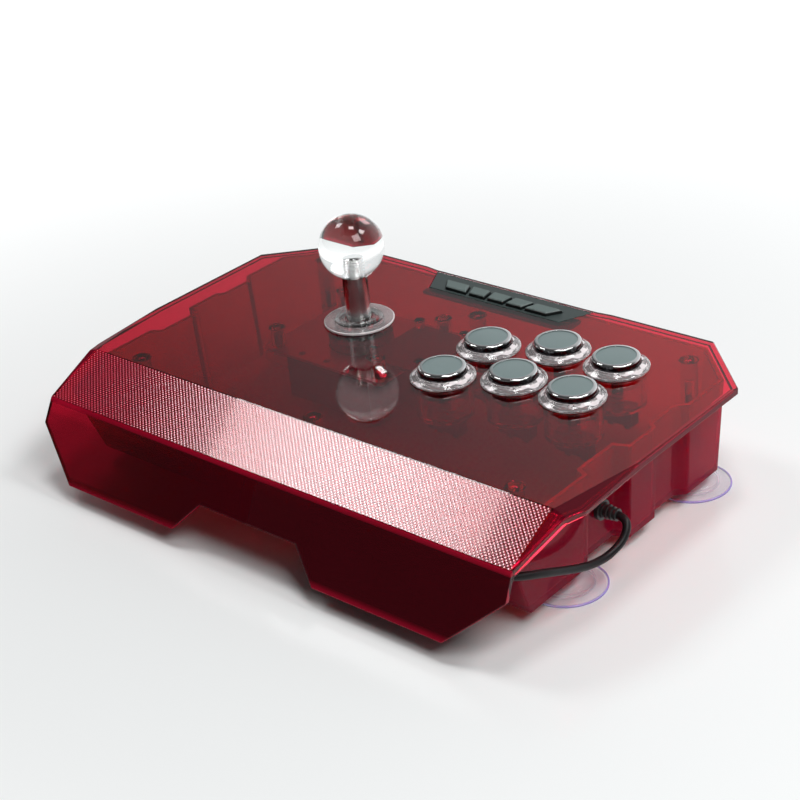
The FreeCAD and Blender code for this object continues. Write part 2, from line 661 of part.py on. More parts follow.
def shaft_cover():
    """The clear tube over the shaft, between the ball and the gimbal."""
    bore = SHAFT_RADIUS + SHAFT_COVER_CLEARANCE
    profile = [(bore, SHAFT_COVER_FOOT), (SHAFT_COVER_RADIUS, SHAFT_COVER_FOOT), (SHAFT_COVER_RADIUS, BALL_UNDER),
               (bore, BALL_UNDER)]
    return turned(profile, LEVER_X, LEVER_Y)


def collar_bore():
    """The radius of the collar's hole round the tilting shaft cover."""
    return SHAFT_COVER_RADIUS + COLLAR_CLEARANCE


def dust_washer():
    """The clear disc on the panel, with a slot along X for the collar's spigot."""
    spigot = collar_bore() + COLLAR_SPIGOT_WALL + SLIDING_GAP
    low = PANEL_HEIGHT + SLIDING_GAP
    top = low + WASHER_THICKNESS
    edge = WASHER_THICKNESS / 3
    rim = WASHER_RADIUS
    disc = turned([(0, low), (rim, low), (rim, top - edge), (rim - edge, top), (0, top)], LEVER_X, LEVER_Y)
    travel = WASHER_SHIFT + SLIDING_GAP
    slot = [rod(spigot, (LEVER_X + i * travel, LEVER_Y, 0), (0, 0, 1), 2 * PANEL_HEIGHT) for i in (-1, 1)]
    above = 2 * PANEL_HEIGHT
    slot.append(box((LEVER_X - travel, LEVER_Y - spigot, 0), (LEVER_X + travel, LEVER_Y + spigot, above)))
    return disc.cut(slot)


def washer_collar():
    """The clear collar on the disc: a flange with a short spigot in the disc's slot."""
    bore = collar_bore()
    spigot = bore + COLLAR_SPIGOT_WALL
    low = PANEL_HEIGHT + SLIDING_GAP
    flange_low = low + WASHER_THICKNESS + SLIDING_GAP
    top = flange_low + COLLAR_THICKNESS
    flange = COLLAR_RADIUS + WASHER_SHIFT
    profile = [(bore, low), (spigot, low), (spigot, flange_low), (flange, flange_low),
               (flange, top - COLLAR_THICKNESS / 3), (flange - COLLAR_THICKNESS / 3, top), (bore, top)]
    return turned(profile, LEVER_X, LEVER_Y)


def gimbal_ring():
    """The ring that rocks front to back on the housing pins and carries the lever's cross pin."""
    low = PIVOT_Z - RING_HEIGHT / 2
    top = PIVOT_Z + RING_HEIGHT / 2
    inner = RING_RADIUS - RING_WALL
    ring = turned([(inner, low), (RING_RADIUS, low), (RING_RADIUS, top), (inner, top)], LEVER_X, LEVER_Y)
    reach = 2 * RING_RADIUS
    pin_hole = rod(PIN_RADIUS + RUNNING_FIT, (LEVER_X - reach, LEVER_Y, PIVOT_Z), (1, 0, 0), 2 * reach)
    cross_hole = rod(PIN_RADIUS, (LEVER_X, LEVER_Y - reach, PIVOT_Z), (0, 1, 0), 2 * reach)
    return ring.cut([pin_hole, cross_hole])


def cross_pin():
    """The pin along Y, fixed in the ring, that the shaft rocks side to side on."""
    return rod(PIN_RADIUS, (LEVER_X, LEVER_Y - RING_RADIUS, PIVOT_Z), (0, 1, 0), 2 * RING_RADIUS)


def gimbal_pins():
    """The two pins along X, fixed in the housing, that the ring rocks on."""
    inner = RING_RADIUS - RING_WALL
    length = CHAMBER_OUTER - inner
    pins = [rod(PIN_RADIUS, (LEVER_X + side * inner, LEVER_Y, PIVOT_Z), (side, 0, 0), length) for side in (-1, 1)]
    return Part.makeCompound(pins)


def square(size, low, high):
    """A square block round the lever's axis."""
    half = size / 2
    return box((LEVER_X - half, LEVER_Y - half, low), (LEVER_X + half, LEVER_Y + half, high))


def pivot_housing():
    """The moulded housing: a round chamber for the gimbal over a square skirt for the switches."""
    chamber_top = PANEL_HEIGHT - CHAMBER_TOP_BELOW_PANEL
    chamber = rod(CHAMBER_OUTER, (LEVER_X, LEVER_Y, GROMMET_SEAT), (0, 0, 1), chamber_top - GROMMET_SEAT)
    skirt = square(SKIRT_SIZE, SKIRT_BOTTOM, PLATE_UNDER)
    hollow = square(SKIRT_SIZE - 2 * SKIRT_WALL, SKIRT_BOTTOM, PLATE_UNDER - SKIRT_WALL)
    housing = join([skirt.cut(hollow), chamber])
    ring_space = rod(CHAMBER_RADIUS, (LEVER_X, LEVER_Y, GROMMET_SEAT + CHAMBER_FLOOR), (0, 0, 1), PANEL_HEIGHT)
    diagonal_swing = math.sqrt(2) * LEVER_SWING
    shaft_hole = SHAFT_RADIUS + (PIVOT_Z - GROMMET_SEAT) * diagonal_swing + SLIDING_GAP
    shaft_space = rod(shaft_hole, (LEVER_X, LEVER_Y, 0), (0, 0, 1), PANEL_HEIGHT)
    pin_hole = rod(PIN_RADIUS, (LEVER_X - SKIRT_SIZE, LEVER_Y, PIVOT_Z), (1, 0, 0), 2 * SKIRT_SIZE)
    return housing.cut([ring_space, shaft_space, pin_hole])


def lever_plate():
    """The steel plate that hangs the lever under the panel, with its row of spare holes along the front."""
    dx, dy = PLATE_LENGTH / 2, PLATE_WIDTH / 2
    plate = box((LEVER_X - dx, LEVER_Y - dy, PLATE_UNDER), (LEVER_X + dx, LEVER_Y + dy, PLATE_TOP))
    corners = [edge for edge in plate.Edges if abs(edge.BoundBox.ZLength - PLATE_THICKNESS) < RUNNING_FIT]
    plate = plate.makeFillet(PLATE_SCREW_INSET / 2, corners)
    holes = [rod(CHAMBER_OUTER + PLATE_FIT, (LEVER_X, LEVER_Y, 0), (0, 0, 1), PANEL_HEIGHT)]
    screw_hole = LEVER_SCREW_RADIUS + SCREW_CLEARANCE
    holes += [rod(screw_hole, (x, y, 0), (0, 0, 1), PANEL_HEIGHT) for x, y in plate_screw_places()]
    pitch = (dx - PLATE_SCREW_INSET) / 2
    row = LEVER_Y - dy + PLATE_SCREW_INSET / 2 + LEVER_SCREW_RADIUS
    holes += [rod(LEVER_SCREW_RADIUS, (LEVER_X + i * pitch, row, 0), (0, 0, 1), PANEL_HEIGHT) for i in (-1, 0, 1)]
    return plate.cut(holes)


def lever_screws():
    """The four screws that hold the plate to the panel's posts."""
    screws = []
    for x, y in plate_screw_places():
        head = rod(LEVER_SCREW_HEAD_RADIUS, (x, y, PLATE_UNDER - LEVER_SCREW_HEAD), (0, 0, 1), LEVER_SCREW_HEAD)
        shank = rod(LEVER_SCREW_RADIUS, (x, y, PLATE_UNDER), (0, 0, 1), LEVER_SCREW_LENGTH)
        screws.append(join([head, shank]))
    return Part.makeCompound(screws)


def lever_gate():
    """The plate under the housing whose square hole stops the lever's nose."""
    travel = (PIVOT_Z - GATE_BOTTOM) * LEVER_SWING
    hole = 2 * (NOSE_RADIUS + travel + GATE_CLEARANCE)
    return square(SKIRT_SIZE, GATE_BOTTOM, SKIRT_BOTTOM).cut(square(hole, 0, PANEL_HEIGHT))


def switch_face():
    """How far the lever's switches stand from its axis, clear of the swinging actuator."""
    return ACTUATOR_RADIUS + (PIVOT_Z - ACTUATOR_BOTTOM) * LEVER_SWING + SWITCH_CLEARANCE


def lever_switch_board():
    """The switch board on the gate, with a round hole for the actuator."""
    size = SKIRT_SIZE - 2 * SKIRT_WALL - 2 * SLIDING_GAP
    hole = rod(switch_face(), (LEVER_X, LEVER_Y, 0), (0, 0, 1), PANEL_HEIGHT)
    return square(size, SKIRT_BOTTOM, SKIRT_BOTTOM + BOARD_THICKNESS).cut(hole)


def lever_switches():
    """The four switches round the actuator."""
    low = SKIRT_BOTTOM + BOARD_THICKNESS
    near = switch_face()
    switch = box((near, -SWITCH_LENGTH / 2, low), (near + SWITCH_DEPTH, SWITCH_LENGTH / 2, low + SWITCH_HEIGHT))
    switches = []
    for quarter in range(4):
        placed = switch.copy()
        placed.rotate(V(0, 0, 0), V(0, 0, 1), 90 * quarter)
        placed.translate(V(LEVER_X, LEVER_Y, 0))
        switches.append(placed)
    return Part.makeCompound(switches)


def lever_actuator():
    """The collar on the shaft's nose that presses the switches."""
    bore = NOSE_RADIUS + STUD_CLEARANCE
    edge = CLIP_THICKNESS
    low = ACTUATOR_BOTTOM
    profile = [(bore, low), (ACTUATOR_RADIUS - edge, low), (ACTUATOR_RADIUS, low + edge),
               (ACTUATOR_RADIUS, ACTUATOR_TOP), (bore, ACTUATOR_TOP)]
    return turned(profile, LEVER_X, LEVER_Y)


def retaining_clip():
    """The open clip in the nose's groove that keeps the actuator on."""
    top = ACTUATOR_BOTTOM - 2 * CLIP_GAP
    low = top - CLIP_THICKNESS
    bore = NOSE_RADIUS - CLIP_GAP - CLIP_THICKNESS / 2
    clip = turned([(bore, low), (CLIP_RADIUS, low), (CLIP_RADIUS, top), (bore, top)], LEVER_X, LEVER_Y)
    half = CLIP_MOUTH / 2
    mouth = box((LEVER_X, LEVER_Y - half, low), (LEVER_X + 2 * CLIP_RADIUS, LEVER_Y + half, top))
    return clip.cut(mouth)


def centring_grommet():
    """The waisted rubber ring round the shaft that brings the lever back to the middle."""
    low = ACTUATOR_TOP + SLIDING_GAP
    top = GROMMET_SEAT
    middle = (low + top) / 2
    bore = SHAFT_RADIUS + SLIDING_GAP
    waist = GROMMET_RADIUS - GROMMET_WAIST
    profile = [(bore, low), (GROMMET_RADIUS, low), (waist, middle), (GROMMET_RADIUS, top), (bore, top)]
    return turned(profile, LEVER_X, LEVER_Y)


def barrel_bottom():
    """The level of the underside of a button's barrel."""
    return PANEL_UNDER - BUTTON_BARREL_LENGTH


def button_housing(x, y):
    """A clear housing: a conical rim on the panel and a barrel with a floor under it."""
    barrel = BUTTON_HOLE_RADIUS - BUTTON_BARREL_CLEARANCE
    bore = PLUNGER_RADIUS + PLUNGER_CLEARANCE
    low = barrel_bottom()
    floor = low + BUTTON_BARREL_FLOOR
    stem = STEM_RADIUS + PLUNGER_CLEARANCE
    rim_top = PANEL_HEIGHT + BUTTON_RIM_HEIGHT
    land = bore + BUTTON_RIM_EDGE
    profile = [(stem, low), (barrel, low), (barrel, PANEL_HEIGHT), (BUTTON_RIM_RADIUS, PANEL_HEIGHT),
               (BUTTON_RIM_RADIUS, PANEL_HEIGHT + BUTTON_RIM_EDGE),
               (land + BUTTON_RIM_EDGE, rim_top - BUTTON_RIM_EDGE),
               (land, rim_top), (bore, rim_top), (bore, floor), (stem, floor)]
    return turned(profile, x, y)


def button_plunger(x, y):
    """A plunger: a bezel round the inlay's seat, a skirt in the barrel and a stem over the switch."""
    top = PANEL_HEIGHT + BUTTON_RIM_HEIGHT + PLUNGER_STAND
    crown = top - INLAY_THICKNESS - PLUNGER_WALL
    skirt = top - PLUNGER_SKIRT
    stem_low = barrel_bottom() + PLUNGER_TRAVEL + SLIDING_GAP
    seat = PLUNGER_RADIUS - PLUNGER_BEZEL
    inner = PLUNGER_RADIUS - PLUNGER_WALL
    profile = [(0, stem_low), (STEM_RADIUS, stem_low), (STEM_RADIUS, crown), (inner, crown), (inner, skirt),
               (PLUNGER_RADIUS, skirt), (PLUNGER_RADIUS, top - PLUNGER_EDGE), (PLUNGER_RADIUS - PLUNGER_EDGE, top),
               (seat, top), (seat, top - INLAY_THICKNESS), (0, top - INLAY_THICKNESS)]
    return turned(profile, x, y)


def button_inlay(x, y):
    """The grey disc in a plunger's bezel."""
    top = PANEL_HEIGHT + BUTTON_RIM_HEIGHT + PLUNGER_STAND
    radius = PLUNGER_RADIUS - PLUNGER_BEZEL - INLAY_CLEARANCE
    edge = INLAY_THICKNESS / 4
    low = top - INLAY_THICKNESS
    face = top - edge
    return turned([(0, low), (radius, low), (radius, face - edge), (radius - edge, face), (0, face)], x, y)


def button_switches():
    """The six switches under the button barrels, each with its two terminals."""
    top = barrel_bottom()
    low = top - BUTTON_SWITCH_HEIGHT
    half = SWITCH_LENGTH / 2
    thick = SWITCH_HEIGHT / 2
    switches = []
    for x, y in button_places():
        body = box((x - half, y - thick, low), (x + half, y + thick, top))
        tags = [box((x + i * half / 2 - thick / 2, y - PLUNGER_CLEARANCE, low - SWITCH_TERMINAL),
                    (x + i * half / 2 + thick / 2, y + PLUNGER_CLEARANCE, low)) for i in (-1, 1)]
        switches.append(join([body] + tags))
    return Part.makeCompound(switches)


def function_strip():
    """The dark strip in the panel's pocket, with an opening for each key."""
    strip = prism_z(strip_outline(STRIP_CLEARANCE), PANEL_HEIGHT - STRIP_THICKNESS, PANEL_HEIGHT)
    openings = [prism_z(key_outline(i, KEY_CLEARANCE), 0, 2 * PANEL_HEIGHT) for i in range(len(KEY_WIDTHS))]
    return strip.cut(openings)


def function_key(index):
    """One function key: a cap with a chamfered top and a flange that keeps it under the strip."""
    flange_top = PANEL_HEIGHT - STRIP_THICKNESS - SLIDING_GAP
    flange_low = flange_top - KEY_FLANGE_HEIGHT
    top = PANEL_HEIGHT + KEY_HEIGHT
    flange = prism_z(key_outline(index, KEY_FLANGE), flange_low, flange_top)
    cap = prism_z(key_outline(index, 0), flange_low, top)
    upper = [edge for edge in cap.Edges if edge.BoundBox.ZMin > top - RUNNING_FIT]
    cap = cap.makeChamfer(KEY_FLANGE, upper)
    return join([cap, flange])


def function_board():
    """The board under the keys."""
    top = function_board_top()
    front = REAR - FUNCTION_BOARD_FRONT_FROM_REAR
    rear = REAR - FUNCTION_BOARD_REAR_FROM_REAR
    return box((-FUNCTION_BOARD_HALF, front, top - BOARD_THICKNESS), (FUNCTION_BOARD_HALF, rear, top))


def key_switches():
    """The five small switches on the function board, one under each key."""
    low = function_board_top()
    half = KEY_SWITCH_SIZE / 2
    switches = []
    for index in range(len(KEY_WIDTHS)):
        outline = key_outline(index, 0)
        x = sum(point[0] for point in outline) / len(outline)
        y = sum(point[1] for point in outline) / len(outline)
        switches.append(box((x - half, y - half, low), (x + half, y + half, low + KEY_SWITCH_HEIGHT)))
    return Part.makeCompound(switches)


def main_board():
    """The main board under the panel."""
    left, front, right, rear = MAIN_BOARD
    top = PANEL_HEIGHT - MAIN_BOARD_BELOW_PANEL
    return box((left, front, top - BOARD_THICKNESS), (right, rear, top))


def cable_gland():
    """The strain relief in the tray's right wall: a flange outside, a barb inside and a notched, tapered sleeve."""
    barb = GLAND_WALL_X - TRAY_WALL - GLAND_FLANGE
    inner_wall = GLAND_WALL_X - TRAY_WALL - GLAND_FACE_GAP
    flange = GLAND_WALL_X + GLAND_FACE_GAP
    flange_end = flange + GLAND_FLANGE
    tip = GLAND_WALL_X + GLAND_REACH
    step = (tip - flange_end) / (2 * GLAND_GROOVES + 1)
    profile = [(barb, 0), (barb, GLAND_RADIUS), (inner_wall - GLAND_FLANGE / 2, GLAND_FLANGE_RADIUS),
               (inner_wall, GLAND_FLANGE_RADIUS), (inner_wall, GLAND_RADIUS),
               (flange, GLAND_RADIUS), (flange, GLAND_FLANGE_RADIUS), (flange_end, GLAND_FLANGE_RADIUS)]
    for groove in range(GLAND_GROOVES + 1):
        start = flange_end + 2 * groove * step
        radius = GLAND_RADIUS + (GLAND_TIP_RADIUS - GLAND_RADIUS) * groove / GLAND_GROOVES
        profile += [(start, radius), (start + step, radius)]
        if groove < GLAND_GROOVES:
            profile += [(start + step, radius - GLAND_GROOVE), (start + 2 * step, radius - GLAND_GROOVE)]
    profile.append((tip, 0))
    section = face_of([V(x, GLAND_Y + r, GLAND_HEIGHT) for x, r in profile])
    return section.revolve(V(0, GLAND_Y, GLAND_HEIGHT), V(1, 0, 0), 360)


def rounded_route(points):
    """A wire of straight runs joined by arcs as large as the runs allow, and the radii of its arcs."""
    edges = []
    radii = []
    start = points[0]
    for before, corner, after in zip(points, points[1:], points[2:]):
        into = (corner - before).normalize()
        out = (after - corner).normalize()
        half_turn = into.getAngle(out) / 2
        reach = BEND_SHARE * min((corner - before).Length, (after - corner).Length)
        radius = reach / math.tan(half_turn)
        first = corner - into * reach
        last = corner + out * reach
        middle = corner + (out - into).normalize() * (radius / math.cos(half_turn) - radius)
        edges.append(Part.LineSegment(start, first).toShape())
        edges.append(Part.Arc(first, middle, last).toShape())
        radii.append(radius)
        start = last
    edges.append(Part.LineSegment(start, points[-1]).toShape())
    return Part.Wire(edges), radii


def cord_tube(points):
    """A round cord along a route, with its bends and its volume printed."""
    wire, radii = rounded_route(points)
    ring = Part.Wire(Part.makeCircle(CORD_RADIUS, points[0], points[1] - points[0]))
    tube = wire.makePipeShell([ring], True, True)
    plain = math.pi * CORD_RADIUS ** 2 * wire.Length
    print("cord arcs, mm:", " ".join("%.1f" % radius for radius in radii))
    print("cord length %.1f mm, volume over section times length %.4f" % (wire.Length, tube.Volume / plain))
    return tube


def usb_cord():
    """The free cord from the gland's tip round to the stored hank, and its tail from the hank to the plug."""
    tip = V(GLAND_WALL_X + GLAND_REACH, GLAND_Y, GLAND_HEIGHT)
    into_plug = [V(PLUG_START_X + PLUG_LEAD, PLUG_Y, PLUG_Z), V(PLUG_START_X, PLUG_Y, PLUG_Z)]
    free = cord_tube([tip] + [V(*point) for point in CORD_ROUTE])
    tail = cord_tube([V(*point) for point in TAIL_ROUTE] + into_plug)
    return Part.makeCompound([free, tail])


def cord_hank():
    """The outer form of the stored cord: a flat hank drawn in at its middle by the tie."""
    outer = HANK_TURN_RADIUS + CORD_RADIUS
    low_y = HANK_Y - HANK_HALF_THICK
    thick = 2 * HANK_HALF_THICK
    centre = HANK_CENTRE_HEIGHT
    ends = [rod(outer, (side * HANK_HALF_LENGTH, low_y, centre), (0, 1, 0), thick) for side in (-1, 1)]
    waist = both_sides([(NECK_HALF_LENGTH, centre + NECK_HALF_HEIGHT), (HANK_HALF_LENGTH, centre + outer),
                        (HANK_HALF_LENGTH, centre - outer), (NECK_HALF_LENGTH, centre - NECK_HALF_HEIGHT)])
    hank = join([prism_y(waist, low_y, low_y + thick)] + ends)
    hank.translate(V(HANK_X, 0, 0))
    return hank


def cord_tie():
    """The strap round the hank's waist."""
    inner_y = HANK_HALF_THICK + TIE_CLEARANCE
    outer_y = inner_y + TIE_THICKNESS
    half = TIE_WIDTH / 2
    low = HANK_CENTRE_HEIGHT - NECK_HALF_HEIGHT - TIE_CLEARANCE
    high = HANK_CENTRE_HEIGHT + NECK_HALF_HEIGHT + TIE_CLEARANCE
    left, right = HANK_X - half, HANK_X + half
    outer = box((left, HANK_Y - outer_y, low - TIE_THICKNESS), (right, HANK_Y + outer_y, high + TIE_THICKNESS))
    return outer.cut(box((left, HANK_Y - inner_y, low), (right, HANK_Y + inner_y, high)))


def usb_plug():
    """The plug's moulded grip and its tapered relief, pointing left along the channel."""
    grip_end = PLUG_START_X - PLUG_RELIEF_LENGTH
    nose = grip_end - PLUG_GRIP_LENGTH
    relief = Part.makeCone(CORD_RADIUS + GLAND_GROOVE, CORD_RADIUS + 2 * GLAND_GROOVE, PLUG_RELIEF_LENGTH,
                           V(PLUG_START_X, PLUG_Y, PLUG_Z), V(-1, 0, 0))
    grip = plug_block(nose, grip_end, PLUG_GRIP_HEIGHT, PLUG_GRIP_WIDTH)
    long_edges = [edge for edge in grip.Edges if edge.BoundBox.XLength > PLUG_GRIP_LENGTH / 2]
    return join([grip.makeFillet(PLUG_ROUND, long_edges), relief])


def plug_block(left, right, thick, wide):
    """A block round the plug's axis, standing on edge."""
    return box((left, PLUG_Y - thick / 2, PLUG_Z - wide / 2), (right, PLUG_Y + thick / 2, PLUG_Z + wide / 2))


def usb_shell():
    """The plug's folded steel shell."""
    base = PLUG_START_X - PLUG_RELIEF_LENGTH - PLUG_GRIP_LENGTH
    tip = base - PLUG_SHELL_LENGTH
    wall = PLUG_SHELL_WALL
    outer = plug_block(tip, base, PLUG_SHELL_HEIGHT, PLUG_SHELL_WIDTH)
    return outer.cut(plug_block(tip, base - wall, PLUG_SHELL_HEIGHT - 2 * wall, PLUG_SHELL_WIDTH - 2 * wall))


def main():
    """Build every piece and write it out."""
    os.makedirs("parts", exist_ok=True)
    single = (top_cover, lower_case, case_screws, ball_top, lever_shaft, shaft_cover, dust_washer, washer_collar,
              gimbal_ring, cross_pin, gimbal_pins, pivot_housing, lever_plate, lever_screws, lever_gate,
              lever_switch_board, lever_switches, lever_actuator, retaining_clip, centring_grommet, button_switches,
              function_strip, function_board, key_switches, main_board, cable_gland, usb_cord, cord_hank, cord_tie,
              usb_plug, usb_shell)
    for make in single:
        save(make(), make.__name__)
    for corner, (x, y) in cup_places().items():
        save(suction_cup(x, y), "suction_cup_" + corner)
    for number, (x, y) in enumerate(button_places(), 1):
        save(button_housing(x, y), "button_housing_%d" % number)
        save(button_plunger(x, y), "button_plunger_%d" % number)
        save(button_inlay(x, y), "button_inlay_%d" % number)
    for index in range(len(KEY_WIDTHS)):
        save(function_key(index), "function_key_%d" % (index + 1))


main()
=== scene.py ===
"""Arcade stick: surfaces, finishes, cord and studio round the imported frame, laid out as an add-on."""
import math

import bmesh
import bpy
import numpy as np
from bpy.props import FloatProperty, FloatVectorProperty, PointerProperty
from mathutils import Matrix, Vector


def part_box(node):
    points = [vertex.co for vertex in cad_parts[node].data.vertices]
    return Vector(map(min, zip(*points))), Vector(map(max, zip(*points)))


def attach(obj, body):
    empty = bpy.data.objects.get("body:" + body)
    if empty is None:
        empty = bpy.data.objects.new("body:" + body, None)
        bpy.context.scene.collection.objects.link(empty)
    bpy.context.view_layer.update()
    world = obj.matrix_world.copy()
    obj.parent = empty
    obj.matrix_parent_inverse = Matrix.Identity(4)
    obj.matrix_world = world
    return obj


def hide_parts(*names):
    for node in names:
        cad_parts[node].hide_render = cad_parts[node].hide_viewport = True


bl_info = {
    "name": "Arcade Stick",
    "version": (1, 0, 0),
    "blender": (4, 5, 0),
    "location": "View3D > Sidebar > Arcade Stick",
    "description": "Builds the visible surfaces and finishes of an arcade stick",
    "category": "Object",
}

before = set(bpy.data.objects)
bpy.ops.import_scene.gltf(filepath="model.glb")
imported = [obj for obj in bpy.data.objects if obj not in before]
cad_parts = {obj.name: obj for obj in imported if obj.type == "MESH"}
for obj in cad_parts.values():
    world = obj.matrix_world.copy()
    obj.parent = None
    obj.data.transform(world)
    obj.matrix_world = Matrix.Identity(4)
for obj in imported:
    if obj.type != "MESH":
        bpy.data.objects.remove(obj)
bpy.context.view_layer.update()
MM = 0.001
FULL_TURN = 2 * math.pi
LEVER_TILT = math.radians(8)
BUTTONS = range(1, 7)
KEYS = range(1, 6)
CUPS = ("rear_left", "rear_right", "front_left", "front_right")
ACRYLIC = {"Transmission Weight": 1.0, "IOR": 1.49}

# Noises, as scale and detail: clouds in a tint, haze, moulding ripple, stains on metal, wear on plastic
CLOUD, HAZE, RIPPLE, STAIN, WEAR = (14.0, 2.0), (420.0, 4.0), (46.0, 2.0), (60.0, 4.0), (38.0, 5.0)

# Cover, in millimetres: the palm slope's folds, levels and half widths, the lip's lower edge, and the levels
# where the painted glow on the front wall's foot starts and is full; then the wall's direction
SLOPE_TOP_Y, SLOPE_FOOT_Y = -59.6, -93.5
SLOPE_TOP_Z, SLOPE_FOOT_Z = 60.0, 46.0
SLOPE_TOP_HALF, SLOPE_FOOT_HALF = 151.5, 153.0
LIP_LEVEL = 56.2
FOOT_PAINTED_GLOW_FROM, FOOT_PAINTED_GLOW_FULL = 13.5, 9.8
FRONT_WALL_Y, FRONT_WALL_Z = -0.887, 0.462

# Levels in millimetres: above them lie the tray's rim and the shaft's stud
TRAY_RIM_LEVEL = 30.0
STUD_LEVEL = 87.3

# Cord, in millimetres: the route from the gland to the hank, and from the hank to the plug
CORD_ROUTE = (
    (153.8, -9.8, 29.0), (156.4, -12.2, 26.4), (156.9, -16.0, 22.6), (156.2, -21.2, 19.8),
    (155.2, -29.0, 18.2), (154.2, -41.6, 20.4), (152.9, -57.6, 26.8), (152.2, -71.0, 32.8),
    (149.2, -82.4, 36.4), (141.2, -88.2, 37.0), (130.6, -90.2, 36.8), (118.0, -91.6, 35.8),
    (107.0, -92.1, 33.9), (92.0, -92.2, 31.2),
)
TAIL_ROUTE = (
    (91.0, -80.6, 22.6), (82.4, -78.4, 17.6), (75.6, -77.5, 12.0), (69.0, -77.5, 8.05), (58.0, -77.5, 8.05),
)
HANK_CENTRE = (70.2, -88.0, 18.5)
HANK_HALF_LENGTH = 33.5
HANK_INNER_RADIUS = 12.0
HANK_PITCH = 4.2
HANK_FAN = 1.7
HANK_LAYERS = (0, 1, 1, 0, 0, 1, 2)
HANK_COLUMNS = (-1, -1, 0, 0, 1, 1, 1)

# Stage, in metres: half the floor's side and the level that the lamps face; then the floor's glow
FLOOR_HALF = 5.0
AIM_LEVEL = 0.05
FLOOR_GLOW = (0.86, 0.86, 0.86)


def maths(operation, swapped=False):
    """A method that adds a Math node for an operation on a wire and another value."""
    def method(self, other=0.0):
        first, second = (other, self) if swapped else (self, other)
        return self.finish.node("ShaderNodeMath", {0: first, 1: second}, {"operation": operation})
    return method


class Wire:
    """A node's output, with arithmetic that adds Math nodes."""

    def __init__(self, finish, socket):
        self.finish = finish
        self.socket = socket

    __add__ = __radd__ = maths("ADD")
    __sub__, __rsub__ = maths("SUBTRACT"), maths("SUBTRACT", swapped=True)
    __mul__ = __rmul__ = maths("MULTIPLY")
    __truediv__ = maths("DIVIDE")
    __gt__, __lt__ = maths("GREATER_THAN"), maths("LESS_THAN")
    __abs__, root = maths("ABSOLUTE"), maths("SQRT")
    at_least = maths("MAXIMUM")


class Finish:
    """One node tree, of a material or of the world, and the ways to add to it."""

    def __init__(self, owner):
        owner.use_nodes = True
        self.owner = owner
        self.tree = owner.node_tree
        self.tree.nodes.clear()

    def node(self, kind, sockets=None, settings=None, out=0):
        """Add a node, set it up, feed its sockets and give back one of its outputs.

        A socket takes a wire or a value, and a colour is given by its three channels.
        """
        item = self.tree.nodes.new(kind)
        for key, value in (settings or {}).items():
            setattr(item, key, value)
        for key, value in (sockets or {}).items():
            socket = item.inputs[key]
            if isinstance(value, Wire):
                self.tree.links.new(value.socket, socket)
            else:
                socket.default_value = (*value, 1.0) if socket.type == "RGBA" else value
        return Wire(self, item.outputs[out]) if item.outputs else None

    def place(self, scale=(1, 1, 1)):
        """Object coordinates, stretched by a scale."""
        where = self.node("ShaderNodeTexCoord", out="Object")
        return self.node("ShaderNodeMapping", {"Vector": where, "Scale": scale})

    def noise(self, scale, detail=2.0, stretch=(1, 1, 1)):
        """Cloudy noise from 0 to 1."""
        where = self.place(stretch)
        return self.node("ShaderNodeTexNoise", {"Vector": where, "Scale": scale, "Detail": detail})

    def split(self, vector, letter):
        """One of a vector's three parts."""
        return self.node("ShaderNodeSeparateXYZ", {"Vector": vector}, out=letter)

    def axis(self, letter, source="Object"):
        """One of the object coordinates in metres, or of the surface's direction, or of a ray's."""
        return self.split(self.node("ShaderNodeTexCoord", out=source), letter)

    def attribute(self, name, out):
        """A value or a vector that the mesh keeps for each point."""
        return self.node("ShaderNodeAttribute", None, {"attribute_name": name}, out)

    def from_axis(self, letter):
        """One of the coordinates that a turned piece keeps from its own axis, in metres."""
        return self.split(self.attribute("from_axis", "Vector"), letter)

    def radius(self):
        """A turned piece's distance from its axis."""
        x, y = self.from_axis("X"), self.from_axis("Y")
        return (x * x + y * y).root()

    def arcs(self, across, along):
        """Noise drawn out round a turned piece's axis: fast along the radius and slow along the angle."""
        x, y, z = (self.from_axis(letter) for letter in "XYZ")
        far = self.radius()
        where = self.node("ShaderNodeCombineXYZ", {
            0: x / far * along, 1: y / far * along, 2: (far + z) * across})
        return self.node("ShaderNodeTexNoise", {"Vector": where, "Scale": 1.0, "Detail": 2.0})

    def ramp(self, value, start, end):
        """A smooth step from 0 to 1 as a value goes from start to end."""
        return self.node("ShaderNodeMapRange", {"Value": value, "From Min": start, "From Max": end},
                         {"interpolation_type": "SMOOTHSTEP"})

    def ray(self, kind):
        """1 for rays of this kind and 0 for others."""
        return self.node("ShaderNodeLightPath", out="Is %s Ray" % kind)

    def blend(self, amount, first, second):
        """A colour between two others."""
        return self.node("ShaderNodeMix", {0: amount, 6: first, 7: second}, {"data_type": "RGBA"}, 2)

    def mottled(self, amount, colour, share, lift=0.0):
        """A colour that goes towards a paler or deeper shade of itself."""
        return self.blend(amount, colour, shade(colour, share, lift))

    def bump(self, height, strength, depth):
        """A bumped normal, with its depth in millimetres."""
        return self.node("ShaderNodeBump", {
            "Height": height, "Strength": strength, "Distance": depth * MM})

    def surface(self, *shaders, share=0.0):
        """The surface: a principled shader with these sockets, or a mix with a share of a second one."""
        first, *second = (self.node("ShaderNodeBsdfPrincipled", sockets) for sockets in shaders)
        if second:
            first = self.node("ShaderNodeMixShader", {0: share, 1: first, 2: second[0]})
        self.node("ShaderNodeOutputMaterial", {"Surface": first})
        return self.owner


def new_finish(name):
    """An empty material, ready for its nodes."""
    return Finish(bpy.data.materials.new(name))


def shade(colour, share, lift=0.0):
    """A colour with its channels multiplied by a share and lifted, none past 1."""
    return tuple(min(1.0, channel * share + lift) for channel in colour)


